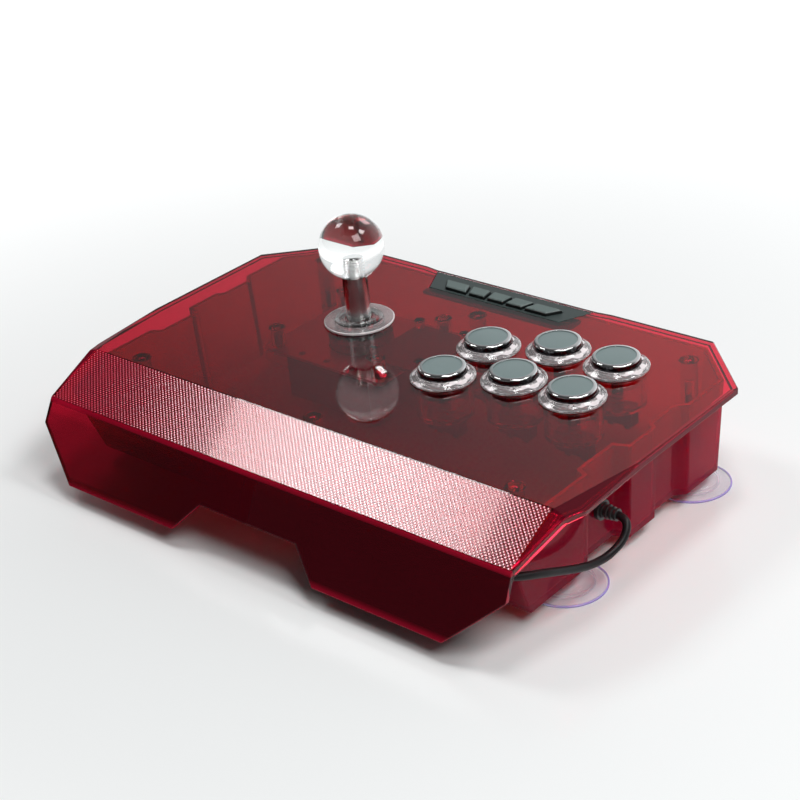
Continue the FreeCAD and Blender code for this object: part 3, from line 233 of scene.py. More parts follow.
def see_through(name, colour):
    """Polished clear plastic: a clouded tint, faint haze and a slow moulding ripple."""
    finish = new_finish(name)
    gloss, ripple = 0.004, 0.004
    return finish.surface({
        "Base Color": finish.mottled(finish.noise(*CLOUD), colour, 0.985),
        "Roughness": gloss + finish.noise(*HAZE) * gloss,
        "Normal": finish.bump(finish.noise(*RIPPLE), ripple, 0.4), **ACRYLIC})


def red_cover(name, colour, gloss):
    """The cover's red plastic: a clouded tint and edges, with light and shade painted into both.

    The tint is painted paler at the right end and deeper at the left, and deep in the front wall, as painted
    shade. Edges, facets, fold and foot take a share of an opaque red: a painted glow on the front wall's low
    edges, the fold and the foot, and painted shade on the lip edges and facets, most on the left facets. The
    front wall takes a share of an opaque painted shade too, more towards the right.
    """
    finish = new_finish(name)
    cloud, haze = finish.noise(*CLOUD), finish.noise(*HAZE)
    x, y, z = (finish.axis(letter) for letter in "XYZ")
    lean, side, up = (finish.axis(letter, "Normal") for letter in "XYZ")
    fold_y = SLOPE_FOOT_Y * MM
    across_wall = abs(up * FRONT_WALL_Z + side * FRONT_WALL_Y)
    front = finish.ramp(y, fold_y + 0.5 * MM, fold_y - 1.5 * MM)
    low_edge = (across_wall < 0.6) * (y < fold_y - 3 * MM)
    lip_edge = (abs(up) < 0.35) * (z > LIP_LEVEL * MM)
    facet = (abs(lean) > 0.3) * (up > 0.25) * (y > fold_y)
    fold = finish.ramp(abs(y - fold_y), 1.4 * MM, 0.6 * MM) * (z > (SLOPE_FOOT_Z - 2) * MM)
    foot = front * finish.ramp(z, FOOT_PAINTED_GLOW_FROM * MM, FOOT_PAINTED_GLOW_FULL * MM)
    # Painted light and shade by side: paler on the right, deeper on the left, dark in the front wall
    paler, deeper, dark = (shade(colour, share) for share in (1.22, 0.72, 0.56))
    tint = finish.blend(finish.ramp(x, 0.15, -0.17) + (cloud - 0.5) * 0.3, paler, deeper)
    body = {"Base Color": finish.blend(front, tint, dark), "Roughness": gloss + haze * gloss,
            "Normal": finish.bump(finish.noise(*RIPPLE), 0.02, 0.4), **ACRYLIC}
    # Opaque reds of painted light: glow for the low edges, fold and foot; shade for lip edges, facets, front
    # wall
    glow = finish.blend(cloud, (0.46, 0.006, 0.03), (0.30, 0.003, 0.02))
    edge = finish.blend(cloud, (0.17, 0.003, 0.016), (0.12, 0.002, 0.010))
    deep = finish.blend(cloud, (0.075, 0.0015, 0.006), (0.06, 0.001, 0.004))
    painted_rims = finish.blend(lip_edge + facet, finish.blend(low_edge + fold + foot, deep, glow), edge)
    opaque = {"Base Color": painted_rims, "Roughness": 0.08 + haze * 0.1, "Coat Weight": 0.1 + 0.4 * (x > 0.0),
              "Specular IOR Level": 0.0}
    # Painted shade on the front wall: an opaque deep red, with a share that grows towards the right
    wall = front * (0.15 + 0.67 * finish.ramp(x, -0.12, 0.0))
    # Shares of the painted glow and shade; the left facets, in painted shade, take the most
    painted_rims_share = (low_edge + lip_edge) * 0.85 + foot * 0.7 + facet * (0.5 + 0.45 * (x < 0.0)) + fold * 0.8
    return finish.surface(body, opaque, share=painted_rims_share.at_least(wall))


def red_tray(name, colour, gloss):
    """The tray's red plastic: satin, half see-through, with clouds in its tint and an opaque rim."""
    finish = new_finish(name)
    cloud, haze = finish.noise(18.0, 3.0), finish.noise(300.0, 4.0)
    body = {"Base Color": finish.mottled(cloud, colour, 0.8), "Roughness": gloss + haze * gloss,
            "Normal": finish.bump(haze, 0.02, 0.2), "Transmission Weight": 1.0, "IOR": 1.22}
    satin = {"Base Color": finish.blend(cloud, (0.56, 0.010, 0.075), (0.44, 0.006, 0.055)),
             "Roughness": 0.32 + haze * 0.1, "Specular IOR Level": 0.08}
    rim = (finish.axis("Z", "Normal") > 0.7) * (finish.axis("Z") > TRAY_RIM_LEVEL * MM)
    return finish.surface(body, satin, share=0.3 + rim * 0.6)


def red_palm(name, colour):
    """The palm texture's red plastic: half see-through, with nearly opaque dots under a bright coat."""
    finish = new_finish(name)
    cloud = finish.noise(*CLOUD)
    dot = finish.ramp(finish.attribute("dot", "Fac"), 0.05, 0.5)
    clear = {"Base Color": finish.mottled(cloud, colour, 0.86), "Roughness": 0.03 + cloud * 0.03,
             "Transmission Weight": 1.0, "IOR": 1.2}
    plain = finish.blend(cloud, (0.50, 0.008, 0.05), (0.40, 0.006, 0.04))
    satin = {"Base Color": finish.blend(dot, plain, (0.70, 0.07, 0.13)), "Roughness": 0.07 + cloud * 0.03,
             "Coat Weight": 0.9 + cloud * 0.1, "Coat IOR": 2.0, "Coat Roughness": 0.13}
    return finish.surface(clear, satin, share=0.25 + dot * 0.7)


def clear_moulding(name, colour):
    """Clear plastic with a little milk in it, and white streaks of painted highlight over its rim above the
    panel.
    """
    finish = new_finish(name)
    gloss, milk = 0.006, 0.75
    haze = finish.noise(*HAZE)
    streak = finish.arcs(1100.0, 2.2)
    rim = finish.ramp(finish.from_axis("Z"), (SLOPE_TOP_Z - 1.0) * MM, (SLOPE_TOP_Z + 0.2) * MM)
    body = {"Base Color": finish.mottled(streak, colour, 0.97), "Roughness": gloss + haze * gloss,
            "Normal": finish.bump(streak * rim, 0.25, 0.4), **ACRYLIC}
    white = {"Base Color": finish.blend(streak, (0.96, 0.93, 0.94), (0.78, 0.70, 0.72)),
             "Roughness": 0.10 + haze * 0.1, "Coat Weight": 0.5}
    # White share: a little milk, and on the rim painted highlights along the streaks
    share = (0.15 + rim * 0.85) * (0.3 * milk + milk * finish.ramp(streak, 0.50, 0.60))
    return finish.surface(body, white, share=share)


def clear_disc(name, colour, radius):
    """Clear plastic with a faint milk and a painted white highlight on its rim up to a radius."""
    finish = new_finish(name)
    haze = finish.noise(*HAZE)
    rim = finish.ramp(finish.radius(), (radius - 0.7) * MM, (radius - 0.2) * MM)
    body = {"Base Color": colour, "Roughness": 0.006 + haze * 0.01, **ACRYLIC}
    white = {"Base Color": finish.blend(haze, (0.94, 0.90, 0.91), (0.84, 0.78, 0.80)),
             "Roughness": 0.12 + haze * 0.1, "Coat Weight": 0.5}
    # White share: a faint milk all over, and a painted highlight on the rim
    return finish.surface(body, white, share=0.16 + rim * 0.6)


def soft_film(name, colour):
    """Soft clear vinyl seen as a thin film: faint, with a ring and a violet line along its rim."""
    finish = new_finish(name)
    rim_from, rim_full, ring_radius = 18.7 * MM, 19.7 * MM, 13.3 * MM
    cloud = finish.noise(60.0, 3.0)
    far = finish.radius()
    rim = finish.ramp(far, rim_from, rim_full)
    ring = finish.ramp(abs(far - ring_radius), 0.7 * MM, 0.1 * MM)
    violet = finish.blend(cloud, (0.25, 0.16, 0.72), (0.42, 0.30, 0.85))
    return finish.surface({
        "Base Color": finish.blend(rim, colour, violet), "Roughness": 0.06 + cloud * 0.06,
        "Alpha": 0.12 + cloud * 0.08 + rim * (0.2 + 0.6 * cloud) + ring * 0.3, "Coat Weight": 0.8})


def moulded(name, colour, gloss, grain, scale=2600.0, shine=0.5):
    """Opaque moulded plastic or rubber: fine grain, and wear that changes its colour and gloss a little."""
    finish = new_finish(name)
    wear = finish.noise(*WEAR)
    return finish.surface({
        "Base Color": finish.mottled(wear * 0.8, colour, 1.35, 0.004),
        "Roughness": gloss - 0.06 + wear * 0.12, "Specular IOR Level": shine,
        "Normal": finish.bump(finish.noise(scale, 3.0), grain, 0.12)})


def turned_metal(name, colour, gloss, pitch):
    """Turned or plated metal: fine rings along Z and faint stains."""
    finish = new_finish(name)
    stain = finish.noise(*STAIN)
    rings = finish.noise(1.0 / pitch, 2.0, (0.02, 0.02, 1.0))
    return finish.surface({
        "Base Color": finish.mottled(stain * 0.7, colour, 0.72),
        "Roughness": gloss + stain * 0.08, "Metallic": 1.0,
        "Normal": finish.bump(rings, 0.05, 0.1)})


def plated(name, colour):
    """Bright plating: a silver top, and sides painted nearly black as a reflection of the dark room."""
    finish = new_finish(name)
    stain = finish.noise(*STAIN)
    up = finish.ramp(finish.axis("Z", "Normal"), 0.05, 0.45)
    silver = finish.mottled(stain, colour, 0.85)
    # Painted reflection: upright faces take a near black in place of the dark room that they mirror
    return finish.surface({
        "Base Color": finish.blend(up, (0.06, 0.06, 0.065), silver), "Roughness": 0.05 + stain * 0.05,
        "Metallic": 1.0, "Normal": finish.bump(finish.noise(300.0), 0.02, 0.1)})


def shaft_steel(name, colour):
    """Polished steel whose stud is frosted white."""
    finish = new_finish(name)
    stain = finish.noise(*STAIN)
    stud = finish.from_axis("Z") > STUD_LEVEL * MM
    steel = finish.mottled(stain, colour, 0.8)
    return finish.surface({
        "Base Color": finish.blend(stud, steel, (0.90, 0.90, 0.89)), "Metallic": 1.0 - stud,
        "Roughness": 0.22 + stain * 0.06 + stud * 0.3,
        "Normal": finish.bump(finish.noise(900.0), 0.04, 0.1)})


def key_satin(name, colour):
    """Satin plastic with a grain, whose upright faces are painted near black as shade."""
    finish = new_finish(name)
    wear = finish.noise(*WEAR)
    up = finish.ramp(finish.axis("Z", "Normal"), 0.35, 0.8)
    top = finish.mottled(wear, colour, 1.3)
    # Painted shade: upright faces near black
    return finish.surface({
        "Base Color": finish.blend(up, (0.006, 0.008, 0.008), top), "Roughness": 0.34 + wear * 0.12,
        "Normal": finish.bump(finish.noise(2600.0, 3.0), 0.16, 0.12)})


def board_lacquer(name, colour, copper, pitch):
    """A circuit board: lacquer over a grid of narrow tracks that come and go."""
    finish = new_finish(name)
    line, half = 0.82, 0.52
    wave = {"Vector": finish.place(), "Scale": 1.0 / pitch, "Distortion": 0.0}
    along, across = (finish.node("ShaderNodeTexWave", wave, {"bands_direction": letter}) for letter in "XY")
    region = finish.noise(90.0, 0.0)
    track = (along > line) * (region > half) + (across > line) * ((1.0 - region) > half)
    return finish.surface({
        "Base Color": finish.blend(track * 0.7, colour, copper),
        "Roughness": 0.38 - track * 0.1, "Normal": finish.bump(track, 0.2, 0.1)})


def floor_sheet(name, colour):
    """The pale floor: slow clouds, and away from the stick a glow that only the rays towards the eye see."""
    finish = new_finish(name)
    near, far_off, glow_x = 0.15, 1.15, 0.1
    cloud = finish.noise(1.6)
    x, y = finish.axis("X") - glow_x, finish.axis("Y")
    far = finish.ramp((x * x + y * y).root(), near, far_off)
    seen = finish.ray("Camera") + finish.ray("Glossy") + 0.55 * finish.ray("Transmission")
    return finish.surface({
        "Base Color": finish.mottled(cloud, colour, 1.03), "Roughness": 0.16 + cloud * 0.06,
        "Emission Strength": 1.0, "Emission Color": finish.blend(far * seen, (0, 0, 0), FLOOR_GLOW)})


def studio_room(world, front, back):
    """The room's light: dark in front, pale behind and low down to rays through glass, white to the eye."""
    sky = Finish(world)
    room = sky.blend(sky.ramp(sky.axis("Y", "Generated"), 0.42, 0.96), front, back)
    low = sky.ramp(sky.axis("Z", "Generated"), 0.75, 0.3)
    room = sky.blend(sky.ray("Transmission") * low, room, back)
    room = sky.blend(sky.ray("Camera"), room, (1, 1, 1))
    light = sky.node("ShaderNodeBackground", {"Color": room, "Strength": 1.0})
    sky.node("ShaderNodeOutputWorld", {"Surface": light})


def dress(nodes, material):
    """Give CAD nodes a finish."""
    for node in nodes:
        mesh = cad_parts[node].data
        mesh.materials.clear()
        mesh.materials.append(material)


def new_object(name, data):
    """An object in the scene, at the origin."""
    item = bpy.data.objects.new(name, data)
    bpy.context.scene.collection.objects.link(item)
    return item


def placed(name, data, material, body, replaced):
    """A new object with a finish and a slot, which rides on a body and may stand for CAD nodes."""
    data.materials.clear()
    data.materials.append(material)
    item = new_object(name, data)
    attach(item, body)
    if replaced:
        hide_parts(*replaced)
    return item


def rounded(name, node, width, material, body):
    """A copy of a CAD node's mesh, its triangles merged and its sharp edges rounded by a Bevel modifier."""
    merge, flat, sharp = 0.005 * MM, math.radians(0.5), math.radians(25)
    shape = bmesh.new()
    shape.from_mesh(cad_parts[node].data)
    bmesh.ops.remove_doubles(shape, verts=shape.verts, dist=merge)
    bmesh.ops.dissolve_limit(shape, angle_limit=flat, verts=shape.verts, edges=shape.edges)
    mesh = bpy.data.meshes.new(name)
    shape.to_mesh(mesh)
    shape.free()
    item = placed(name, mesh, material, body, [node])
    edge = item.modifiers.new("edge", "BEVEL")
    edge.width = width
    edge.segments = 3
    edge.limit_method = "ANGLE"
    edge.angle_limit = sharp
    edge.use_clamp_overlap = False
    return item


def piece(name, points, faces, material, body, replaced, middle=None):
    """A new mesh object with smooth faces.

    Where a middle is given, each point's place from it is kept as the attribute from_axis for the finish.
    """
    mesh = bpy.data.meshes.new(name)
    mesh.from_pydata(points.tolist(), [], faces)
    mesh.shade_smooth()
    if middle is not None:
        kept = mesh.attributes.new("from_axis", "FLOAT_VECTOR", "POINT")
        kept.data.foreach_set("vector", (points - middle).ravel())
    return placed(name, mesh, material, body, replaced)


def grid_faces(rows, columns, wrap):
    """Quads between neighbours of a grid whose columns close on themselves; wrap closes the rows too."""
    row = np.arange(rows if wrap else rows - 1)[:, None]
    column = np.arange(columns)[None, :]
    after = (column + 1) % columns
    here, below = row * columns, (row + 1) % rows * columns
    return np.stack([here + column, here + after, below + after, below + column], axis=-1).reshape(-1, 4)


def outward(points, faces):
    """The faces, turned round as a whole if the volume that they enclose counts as negative."""
    corners = np.array([face[:3] for face in faces])
    a, b, c = points[corners[:, 0]], points[corners[:, 1]], points[corners[:, 2]]
    middle = points.mean(axis=0)
    volume = np.einsum("ij,ij->i", a - middle, np.cross(b - middle, c - middle)).sum()
    return faces if volume > 0 else [face[::-1] for face in faces]


def turned(profile, centre, steps, along_x=False):
    """A half section (radius, height) turned about an upright line, or about a line along X.

    A point of the surface is centre + (r cos a, r sin a, h), for every section point (r, h) and angle a.
    A section that starts and ends on the axis is closed by a pole at each end, any other closes on itself.
    """
    section = np.asarray(profile, dtype=float)
    poles = section[0, 0] < 1e-9
    ring = section[1:-1] if poles else section
    angle = np.linspace(0, FULL_TURN, steps, endpoint=False)
    radius, height = ring[:, :1], ring[:, 1:]
    shape = np.stack([radius * np.cos(angle), radius * np.sin(angle), height + 0 * angle], axis=-1)
    shape = shape.reshape(-1, 3)
    faces = grid_faces(len(ring), steps, not poles).tolist()
    if poles:
        count = len(shape)
        shape = np.vstack([shape, [[0, 0, section[0, 1]], [0, 0, section[-1, 1]]]])
        step = np.arange(steps)
        after = (step + 1) % steps
        last = (len(ring) - 1) * steps
        faces += np.stack([after, step, 0 * step + count], axis=1).tolist()
        faces += np.stack([last + step, last + after, 0 * step + count + 1], axis=1).tolist()
    if along_x:
        shape = shape[:, [2, 0, 1]]
    points = shape + np.asarray(centre)
    return points, outward(points, faces)


def eased(profile, cut, closed=False):
    """A section with its corners eased.

    Each corner becomes a quadratic curve between the points that lie a cut back along its two edges, or less
    where an edge is short. The ends of an open section stay.
    """
    steps, most = 5, 0.45
    corners = np.asarray(profile, dtype=float)
    before = np.roll(corners, 1, axis=0) - corners
    after = np.roll(corners, -1, axis=0) - corners
    long_before = np.linalg.norm(before, axis=1, keepdims=True)
    long_after = np.linalg.norm(after, axis=1, keepdims=True)
    cuts = np.broadcast_to(np.asarray(cut, dtype=float).reshape(-1, 1), long_before.shape)
    reach = np.minimum(cuts, most * np.minimum(long_before, long_after))
    start = (corners + before / long_before * reach)[:, None]
    end = (corners + after / long_after * reach)[:, None]
    part = np.linspace(0, 1, steps)[None, :, None]
    curve = (1 - part) ** 2 * start + 2 * part * (1 - part) * corners[:, None] + part ** 2 * end
    if closed:
        return curve.reshape(-1, 2)
    return np.vstack([corners[:1], curve[1:-1].reshape(-1, 2), corners[-1:]])


def axis_of(node):
    """The foot of a node's upright axis, in metres: the middle of its box in X and Y, on the ground."""
    low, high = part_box(node)
    return np.array([(low[0] + high[0]) / 2, (low[1] + high[1]) / 2, 0.0])


def sizes_of(node):
    """A node's radius in X and its lowest and highest level, in millimetres."""
    low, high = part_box(node)
    return (high[0] - low[0]) / 2 / MM, low[2] / MM, high[2] / MM


def bar(bore, radius, low, high, ease):
    """A rod's half section, or where it has a bore a tube's closed one: a rectangle with eased corners."""
    return eased([(bore, low), (radius, low), (radius, high), (bore, high)], ease, closed=bore > 0)


def turned_piece(name, node, section, material, body, steps=96):
    """The piece that stands for a node: a half section in millimetres, turned about the node's axis."""
    axis = axis_of(node)
    points, faces = turned(section * MM, axis, steps)
    return piece(name, points, faces, material, body, [node], axis)


def tint(name, description, default):
    """A colour among the settings."""
    return FloatVectorProperty(name=name, description=description, default=default, subtype="COLOR", size=3,
                               min=0, max=1)


def length(name, description, default, least):
    """A length among the settings, in metres."""
    return FloatProperty(name=name, description=description, default=default, min=least, unit="LENGTH")


class CaseSettings(bpy.types.PropertyGroup):
    """Sizes and colours of the case."""
    red: tint("Red", "Tint of the case plastic", (0.69, 0.006, 0.036))
    gloss: FloatProperty(name="Roughness", description="Roughness of the polished faces",
                         default=0.012, min=0, max=1)
    edge: length("Edge", "Width of the rounded edges", 0.0007, 0)
    pitch: length("Texture pitch", "Pitch of the palm slope's dots along a row", 0.0023, 0.0005)
    row: length("Texture row", "Pitch of the rows of dots", 0.001125, 0.0005)
    rise: length("Texture height", "Height of the palm slope's dots", 0.00004, 0)


class LeverSettings(bpy.types.PropertyGroup):
    """Colours of the lever, and its thread."""
    clear: tint("Clear", "Tint of the clear plastic", (0.96, 0.975, 0.97))
    steel: tint("Steel", "Colour of the shaft", (0.74, 0.72, 0.72))
    thread: length("Thread", "Pitch of the ball's thread", 0.001, 0.0003)


class ControlSettings(bpy.types.PropertyGroup):
    """Colours of the buttons and keys."""
    silver: tint("Silver", "Colour of the plated plungers", (0.80, 0.81, 0.82))
    inlay: tint("Inlay", "Colour of the button discs", (0.145, 0.190, 0.190))
    key: tint("Key", "Colour of the function keys", (0.085, 0.115, 0.11))
    strip: tint("Strip", "Colour of the function strip", (0.026, 0.038, 0.037))


class CordSettings(bpy.types.PropertyGroup):
    """Size and colour of the cord, and the colour of the cups."""
    diameter: length("Diameter", "Diameter of the cord", 0.004, 0.001)
    black: tint("Black", "Colour of the cord", (0.007, 0.006, 0.007))
    cup: tint("Cup", "Tint of the suction cups", (0.76, 0.68, 0.82))


class StageSettings(bpy.types.PropertyGroup):
    """Floor, lamps and camera."""
    floor: tint("Floor", "Colour of the floor", (0.86, 0.875, 0.875))
    room: tint("Room", "Colour of the room in front", (0.06, 0.06, 0.06))
    backdrop: tint("Backdrop", "Colour of the room behind", (0.86, 0.88, 0.89))
    key: FloatProperty(name="Key", description="Power of the left soft box", default=3.8, min=0,
                       unit="POWER")
    fill: FloatProperty(name="Side", description="Power of the other soft boxes", default=8.2, min=0,
                        unit="POWER")
    lens: FloatProperty(name="Lens", description="Focal length on a 36 mm sensor", default=82.5, min=1,
                        unit="CAMERA")
    place: FloatVectorProperty(name="Camera", description="Place of the camera", subtype="TRANSLATION",
                               size=3, default=(0.57196, -0.59720, 0.48229))
    turn: FloatVectorProperty(name="Turn", description="Camera angles in degrees", size=3,
                              default=(61.8755, 5.1189, 40.5043))


class ARCADE_OT_stage(bpy.types.Operator):
    """Floor, soft boxes and the camera"""
    bl_idname = "arcade_stick.stage"
    bl_label = "Stage"

    def execute(self, context):
        settings = context.scene.arcade_stage
        context.scene.view_settings.view_transform = "Standard"
        context.scene.world = bpy.data.worlds.new("studio")
        studio_room(context.scene.world, settings.room, settings.backdrop)
        mesh = bpy.data.meshes.new("floor")
        corners = [(FLOOR_HALF * x, FLOOR_HALF * y, 0) for x, y in ((-1, -1), (1, -1), (1, 1), (-1, 1))]
        mesh.from_pydata(corners, [], [(0, 1, 2, 3)])
        mesh.materials.append(floor_sheet("floor_sheet", settings.floor))
        floor = new_object("floor", mesh)
        self.soft_box("left_box", (-0.835, 0.037, 1.195), (0.36, 0.36), settings.key)
        self.soft_box("back_box", (0.70, 0.50, 1.30), (0.40, 0.36), 0.8 * settings.fill)
        self.soft_box("right_box", (1.00, -0.25, 1.32), (0.70, 0.70), 1.4 * settings.fill)
        self.soft_box("top_box", (0.05, 0.15, 1.60), (0.36, 0.36), 0.7 * settings.fill)
        lens = bpy.data.cameras.new("camera")
        lens.lens = settings.lens
        camera = new_object("camera", lens)
        camera.location = settings.place
        camera.rotation_euler = [math.radians(angle) for angle in settings.turn]
        context.scene.camera = camera
        return {"FINISHED"}

    def soft_box(self, name, place, size, power):
        """A rectangular lamp that faces the middle of the stick."""
        data = bpy.data.lights.new(name, "AREA")
        data.shape = "RECTANGLE"
        data.size, data.size_y = size
        data.energy = power
        lamp = new_object(name, data)
        lamp.location = place
        facing = -lamp.location
        facing.z += AIM_LEVEL
        lamp.rotation_euler = facing.to_track_quat("-Z", "Y").to_euler()


class ARCADE_OT_case(bpy.types.Operator):
    """Red see-through cover and tray"""
    bl_idname = "arcade_stick.case"
    bl_label = "Case"

    def execute(self, context):
        settings = context.scene.arcade_case
        cover = red_cover("red_cover", settings.red, settings.gloss)
        rounded("red_cover", "top_cover", settings.edge, cover, "case")
        tray = red_tray("red_tray", settings.red, 3 * settings.gloss)
        item = rounded("red_tray", "lower_case", settings.edge, tray, "case")
        self.settle(item.data, 0.4 * MM)
        return {"FINISHED"}

    def settle(self, mesh, gap):
        """Lower the points at the tray's highest level, so that light gets between its rim and the cover."""
        near = 0.1 * MM
        points = np.empty(3 * len(mesh.vertices))
        mesh.vertices.foreach_get("co", points)
        height = points[2::3]
        height[height > height.max() - near] -= gap
        mesh.vertices.foreach_set("co", points)


class ARCADE_OT_palm_texture(bpy.types.Operator):
    """Field of small raised dots on the palm slope"""
    bl_idname = "arcade_stick.palm_texture"
    bl_label = "Palm texture"

    def execute(self, context):
        settings = context.scene.arcade_case
        points, faces, flat, dot = self.field(settings.pitch / MM, settings.row / MM, settings.rise / MM)
        material = red_palm("red_palm", settings.red)
        item = piece("palm_texture", points * MM, faces, material, "case", [])
        item.data.polygons.foreach_set("use_smooth", ~flat)
        item.data.attributes.new("dot", "FLOAT", "POINT").data.foreach_set("value", dot)
        return {"FINISHED"}

    def field(self, pitch, row, rise):
        """A thin slab on the slope whose upper face carries rows of small raised dots, one in each cell.

        A dot is a square of 0.44 pitches by 0.8 rows that rises to a smaller one in its middle. Its faces
        are smooth, and the face round it is flat. Every second row is shifted by half a cell. The slab runs
        from fold to fold, and its ends follow the cover's half widths. The last array is 1 on the raised
        points and 0 on the others.
        """
        margin, lift, base = 0.6, 0.05, 0.25
        across = np.array([0.28, 0.43, 0.57, 0.72])
        along = np.array([0.1, 0.37, 0.63, 0.9])
        middle = 0.15
        drop_y, drop_z = SLOPE_FOOT_Y - SLOPE_TOP_Y, SLOPE_FOOT_Z - SLOPE_TOP_Z
        run = math.hypot(drop_y, drop_z)
        rows = int((run - 2 * margin) / row)
        columns = int(2 * (SLOPE_TOP_HALF - margin) / pitch)
        deep = (run - 2 * margin) / rows
        v = np.concatenate([[0], (np.arange(rows)[:, None] + along).ravel(), [rows]])
        u = np.concatenate([[0], (np.arange(columns)[:, None] + across).ravel(), [columns]])
        u, v = np.meshgrid(u, v)
        shift = 0.5 * (np.floor(np.minimum(v, rows - 0.5)) % 2)
        raised = np.maximum(np.abs(u % 1 - 0.5), np.abs(v % 1 - 0.5)) < middle
        u = np.clip(u + shift, 0, columns) - columns / 2
        down = (margin + v * deep) / run
        stretch = 1 + (SLOPE_FOOT_HALF / SLOPE_TOP_HALF - 1) * down

        def sheet(level):
            y = SLOPE_TOP_Y + drop_y * down + drop_z / run * level
            z = SLOPE_TOP_Z + drop_z * down - drop_y / run * level
            return np.stack([u * pitch * stretch, y, z], axis=-1).reshape(-1, 3)

        tall, wide = u.shape
        index = np.arange(tall * wide).reshape(tall, wide)
        top = np.stack([index[:-1, :-1], index[1:, :-1], index[1:, 1:], index[:-1, 1:]], axis=-1)
        top = top.reshape(-1, 4)
        edge = np.concatenate([index[0, :-1], index[:-1, -1], index[-1, :0:-1], index[:0:-1, 0]])
        under = np.arange(len(edge)) + tall * wide
        following = np.roll(np.arange(len(edge)), -1)
        walls = np.stack([edge, edge[following], under[following], under], axis=-1)
        points = np.vstack([sheet(lift + base + rise * raised), sheet(lift + 0 * down)[edge]])
        faces = top.tolist() + walls.tolist() + [under[::-1].tolist()]
        flat = np.concatenate([~raised.ravel()[top].any(axis=1), np.ones(len(walls) + 1, dtype=bool)])
        return points, faces, flat, np.concatenate([raised.ravel(), np.zeros(len(edge))])


class ARCADE_OT_feet(bpy.types.Operator):
    """Clear suction cups"""
    bl_idname = "arcade_stick.feet"
    bl_label = "Suction cups"

    def execute(self, context):
        soft = soft_film("soft_clear", context.scene.arcade_cord.cup)
        for corner in CUPS:
            node = "suction_cup_" + corner
            section = self.section(*sizes_of(node))
            turned_piece("clear_cup_" + corner, node, section, soft, "case", 128)
        return {"FINISHED"}

    def section(self, radius, low, high):
        """The cup's half section: a thin hollow bell with a raised ring, a neck and a headed stem."""
        hollow, rim, gap = low + 1.6, 0.9, 0.05
        neck, stem, head = 5.5, 2.6, 3.8
        floor_under, floor_top = 7.5 - gap, 10.0 + gap
        ring_out, ring_in = 0.70 * radius, 0.63 * radius
        ring_foot, ring_top = low + 2.2, low + 2.9
        outline = [(0, hollow), (0.55 * radius, hollow), (radius - 2 * rim, low), (radius, low),
                   (radius, low + rim), (0.72 * radius, ring_foot), (ring_out, ring_top),
                   (ring_in, ring_top), (0.60 * radius, low + 3.3), (neck, floor_under + gap - rim),
                   (neck, floor_under), (stem, floor_under), (stem, floor_top), (head, floor_top),
                   (stem, high), (0, high)]
        return eased(outline, 0.35)


class ARCADE_OT_lever(bpy.types.Operator):
    """Ball, shaft, clear tube and dust washer"""
    bl_idname = "arcade_stick.lever"
    bl_label = "Lever"

    def execute(self, context):
        settings = context.scene.arcade_lever
        clear = see_through("clear_ball", settings.clear)
        tube = see_through("clear_tube", settings.clear)
        disc = clear_disc("clear_disc", settings.clear, sizes_of("dust_washer")[0])
        steel = shaft_steel("shaft_steel", settings.steel)
        turned_piece("clear_ball", "ball_top", self.ball(settings.thread / MM), clear, "lever", 160)
        section = bar(4.85, *sizes_of("shaft_cover"), 0.35)
        turned_piece("clear_tube", "shaft_cover", section, tube, "lever", 128)
        self.washer(disc)
        turned_piece("clear_collar", "washer_collar", self.collar(), tube, "collar", 128)
        turned_piece("turned_shaft", "lever_shaft", self.shaft(), steel, "lever")
        return {"FINISHED"}

    def ball(self, pitch):
        """The ball's half section: a circle from the top to the flat, then a threaded bore.

        The circle is (R sin a, zc + R cos a), and the bore's radius swings as a cosine along its depth.
        """
        radius, low, high = sizes_of("ball_top")
        bore, depth, thread = 3.05, 12.05, 0.09
        centre = high - radius
        angle = np.linspace(0, math.acos((low - centre) / radius), 90)
        outside = np.stack([radius * np.sin(angle), centre + radius * np.cos(angle)], axis=1)
        level = np.linspace(0, depth, 97)
        swing = thread * bore * (np.cos(FULL_TURN * level / pitch) + 1)
        inside = np.stack([bore + swing, low + level], axis=1)
        return np.vstack([outside, inside, [[0, low + depth]]])

    def washer(self, clear):
        """The disc as rings of points: its inner edge follows the slot, two half circles joined by flats."""
        radius, low, high = sizes_of("dust_washer")
        tube, gap, wall, play = 6.75, 0.8, 1.2, 0.3
        slot, travel = tube + gap + wall + play, 2.44
        angle = np.linspace(0, FULL_TURN, 192, endpoint=False)
        cosine, sine = np.cos(angle), np.sin(angle)
        inner = np.abs(cosine) * travel + np.sqrt(np.maximum(slot ** 2 - (travel * sine) ** 2, 0))
        inner = np.minimum(inner, slot / np.maximum(np.abs(sine), 0.01))
        ease = 0.25 * (high - low)
        rings = [(radius, low), (radius, high - ease), (radius - ease, high - 0.3 * ease),
                 (radius - 2 * ease, high), (inner, high), (inner, low)]
        axis = axis_of("dust_washer")
        points = axis + MM * np.concatenate([
            np.stack([far * cosine, far * sine, level + 0 * angle], axis=-1) for far, level in rings])
        faces = outward(points, grid_faces(len(rings), len(angle), True).tolist())
        item = piece("clear_washer", points, faces, clear, "washer", ["dust_washer"], axis)
        item.data.set_sharp_from_angle(angle=math.radians(35))

    def collar(self):
        """The collar's closed half section: a flange on the disc and a short spigot in its slot."""
        radius, low, high = sizes_of("washer_collar")
        bore, spigot = 7.55, 8.75
        flange, top = high - 1.1, high - 0.5
        outline = [(bore, low), (spigot, low), (spigot, flange), (radius, flange), (radius, top),
                   (bore, top)]
        return eased(outline, 0.2, closed=True)

    def shaft(self):
        """The shaft's half section: a nose with the clip's groove, the body, and the stud in the ball."""
        radius, low, high = sizes_of("lever_shaft")
        nose, groove, stud = 3.5, 2.8, 2.7
        clip_low, clip_top, step, shoulder = 22.2, 23.4, 30.0, high - 12.0
        outline = [(0, low), (nose, low), (nose, clip_low), (groove, clip_low), (groove, clip_top),
                   (nose, clip_top), (nose, step), (radius, step), (radius, shoulder), (stud, shoulder),
                   (stud, high), (0, high)]
        return eased(outline, 0.3)


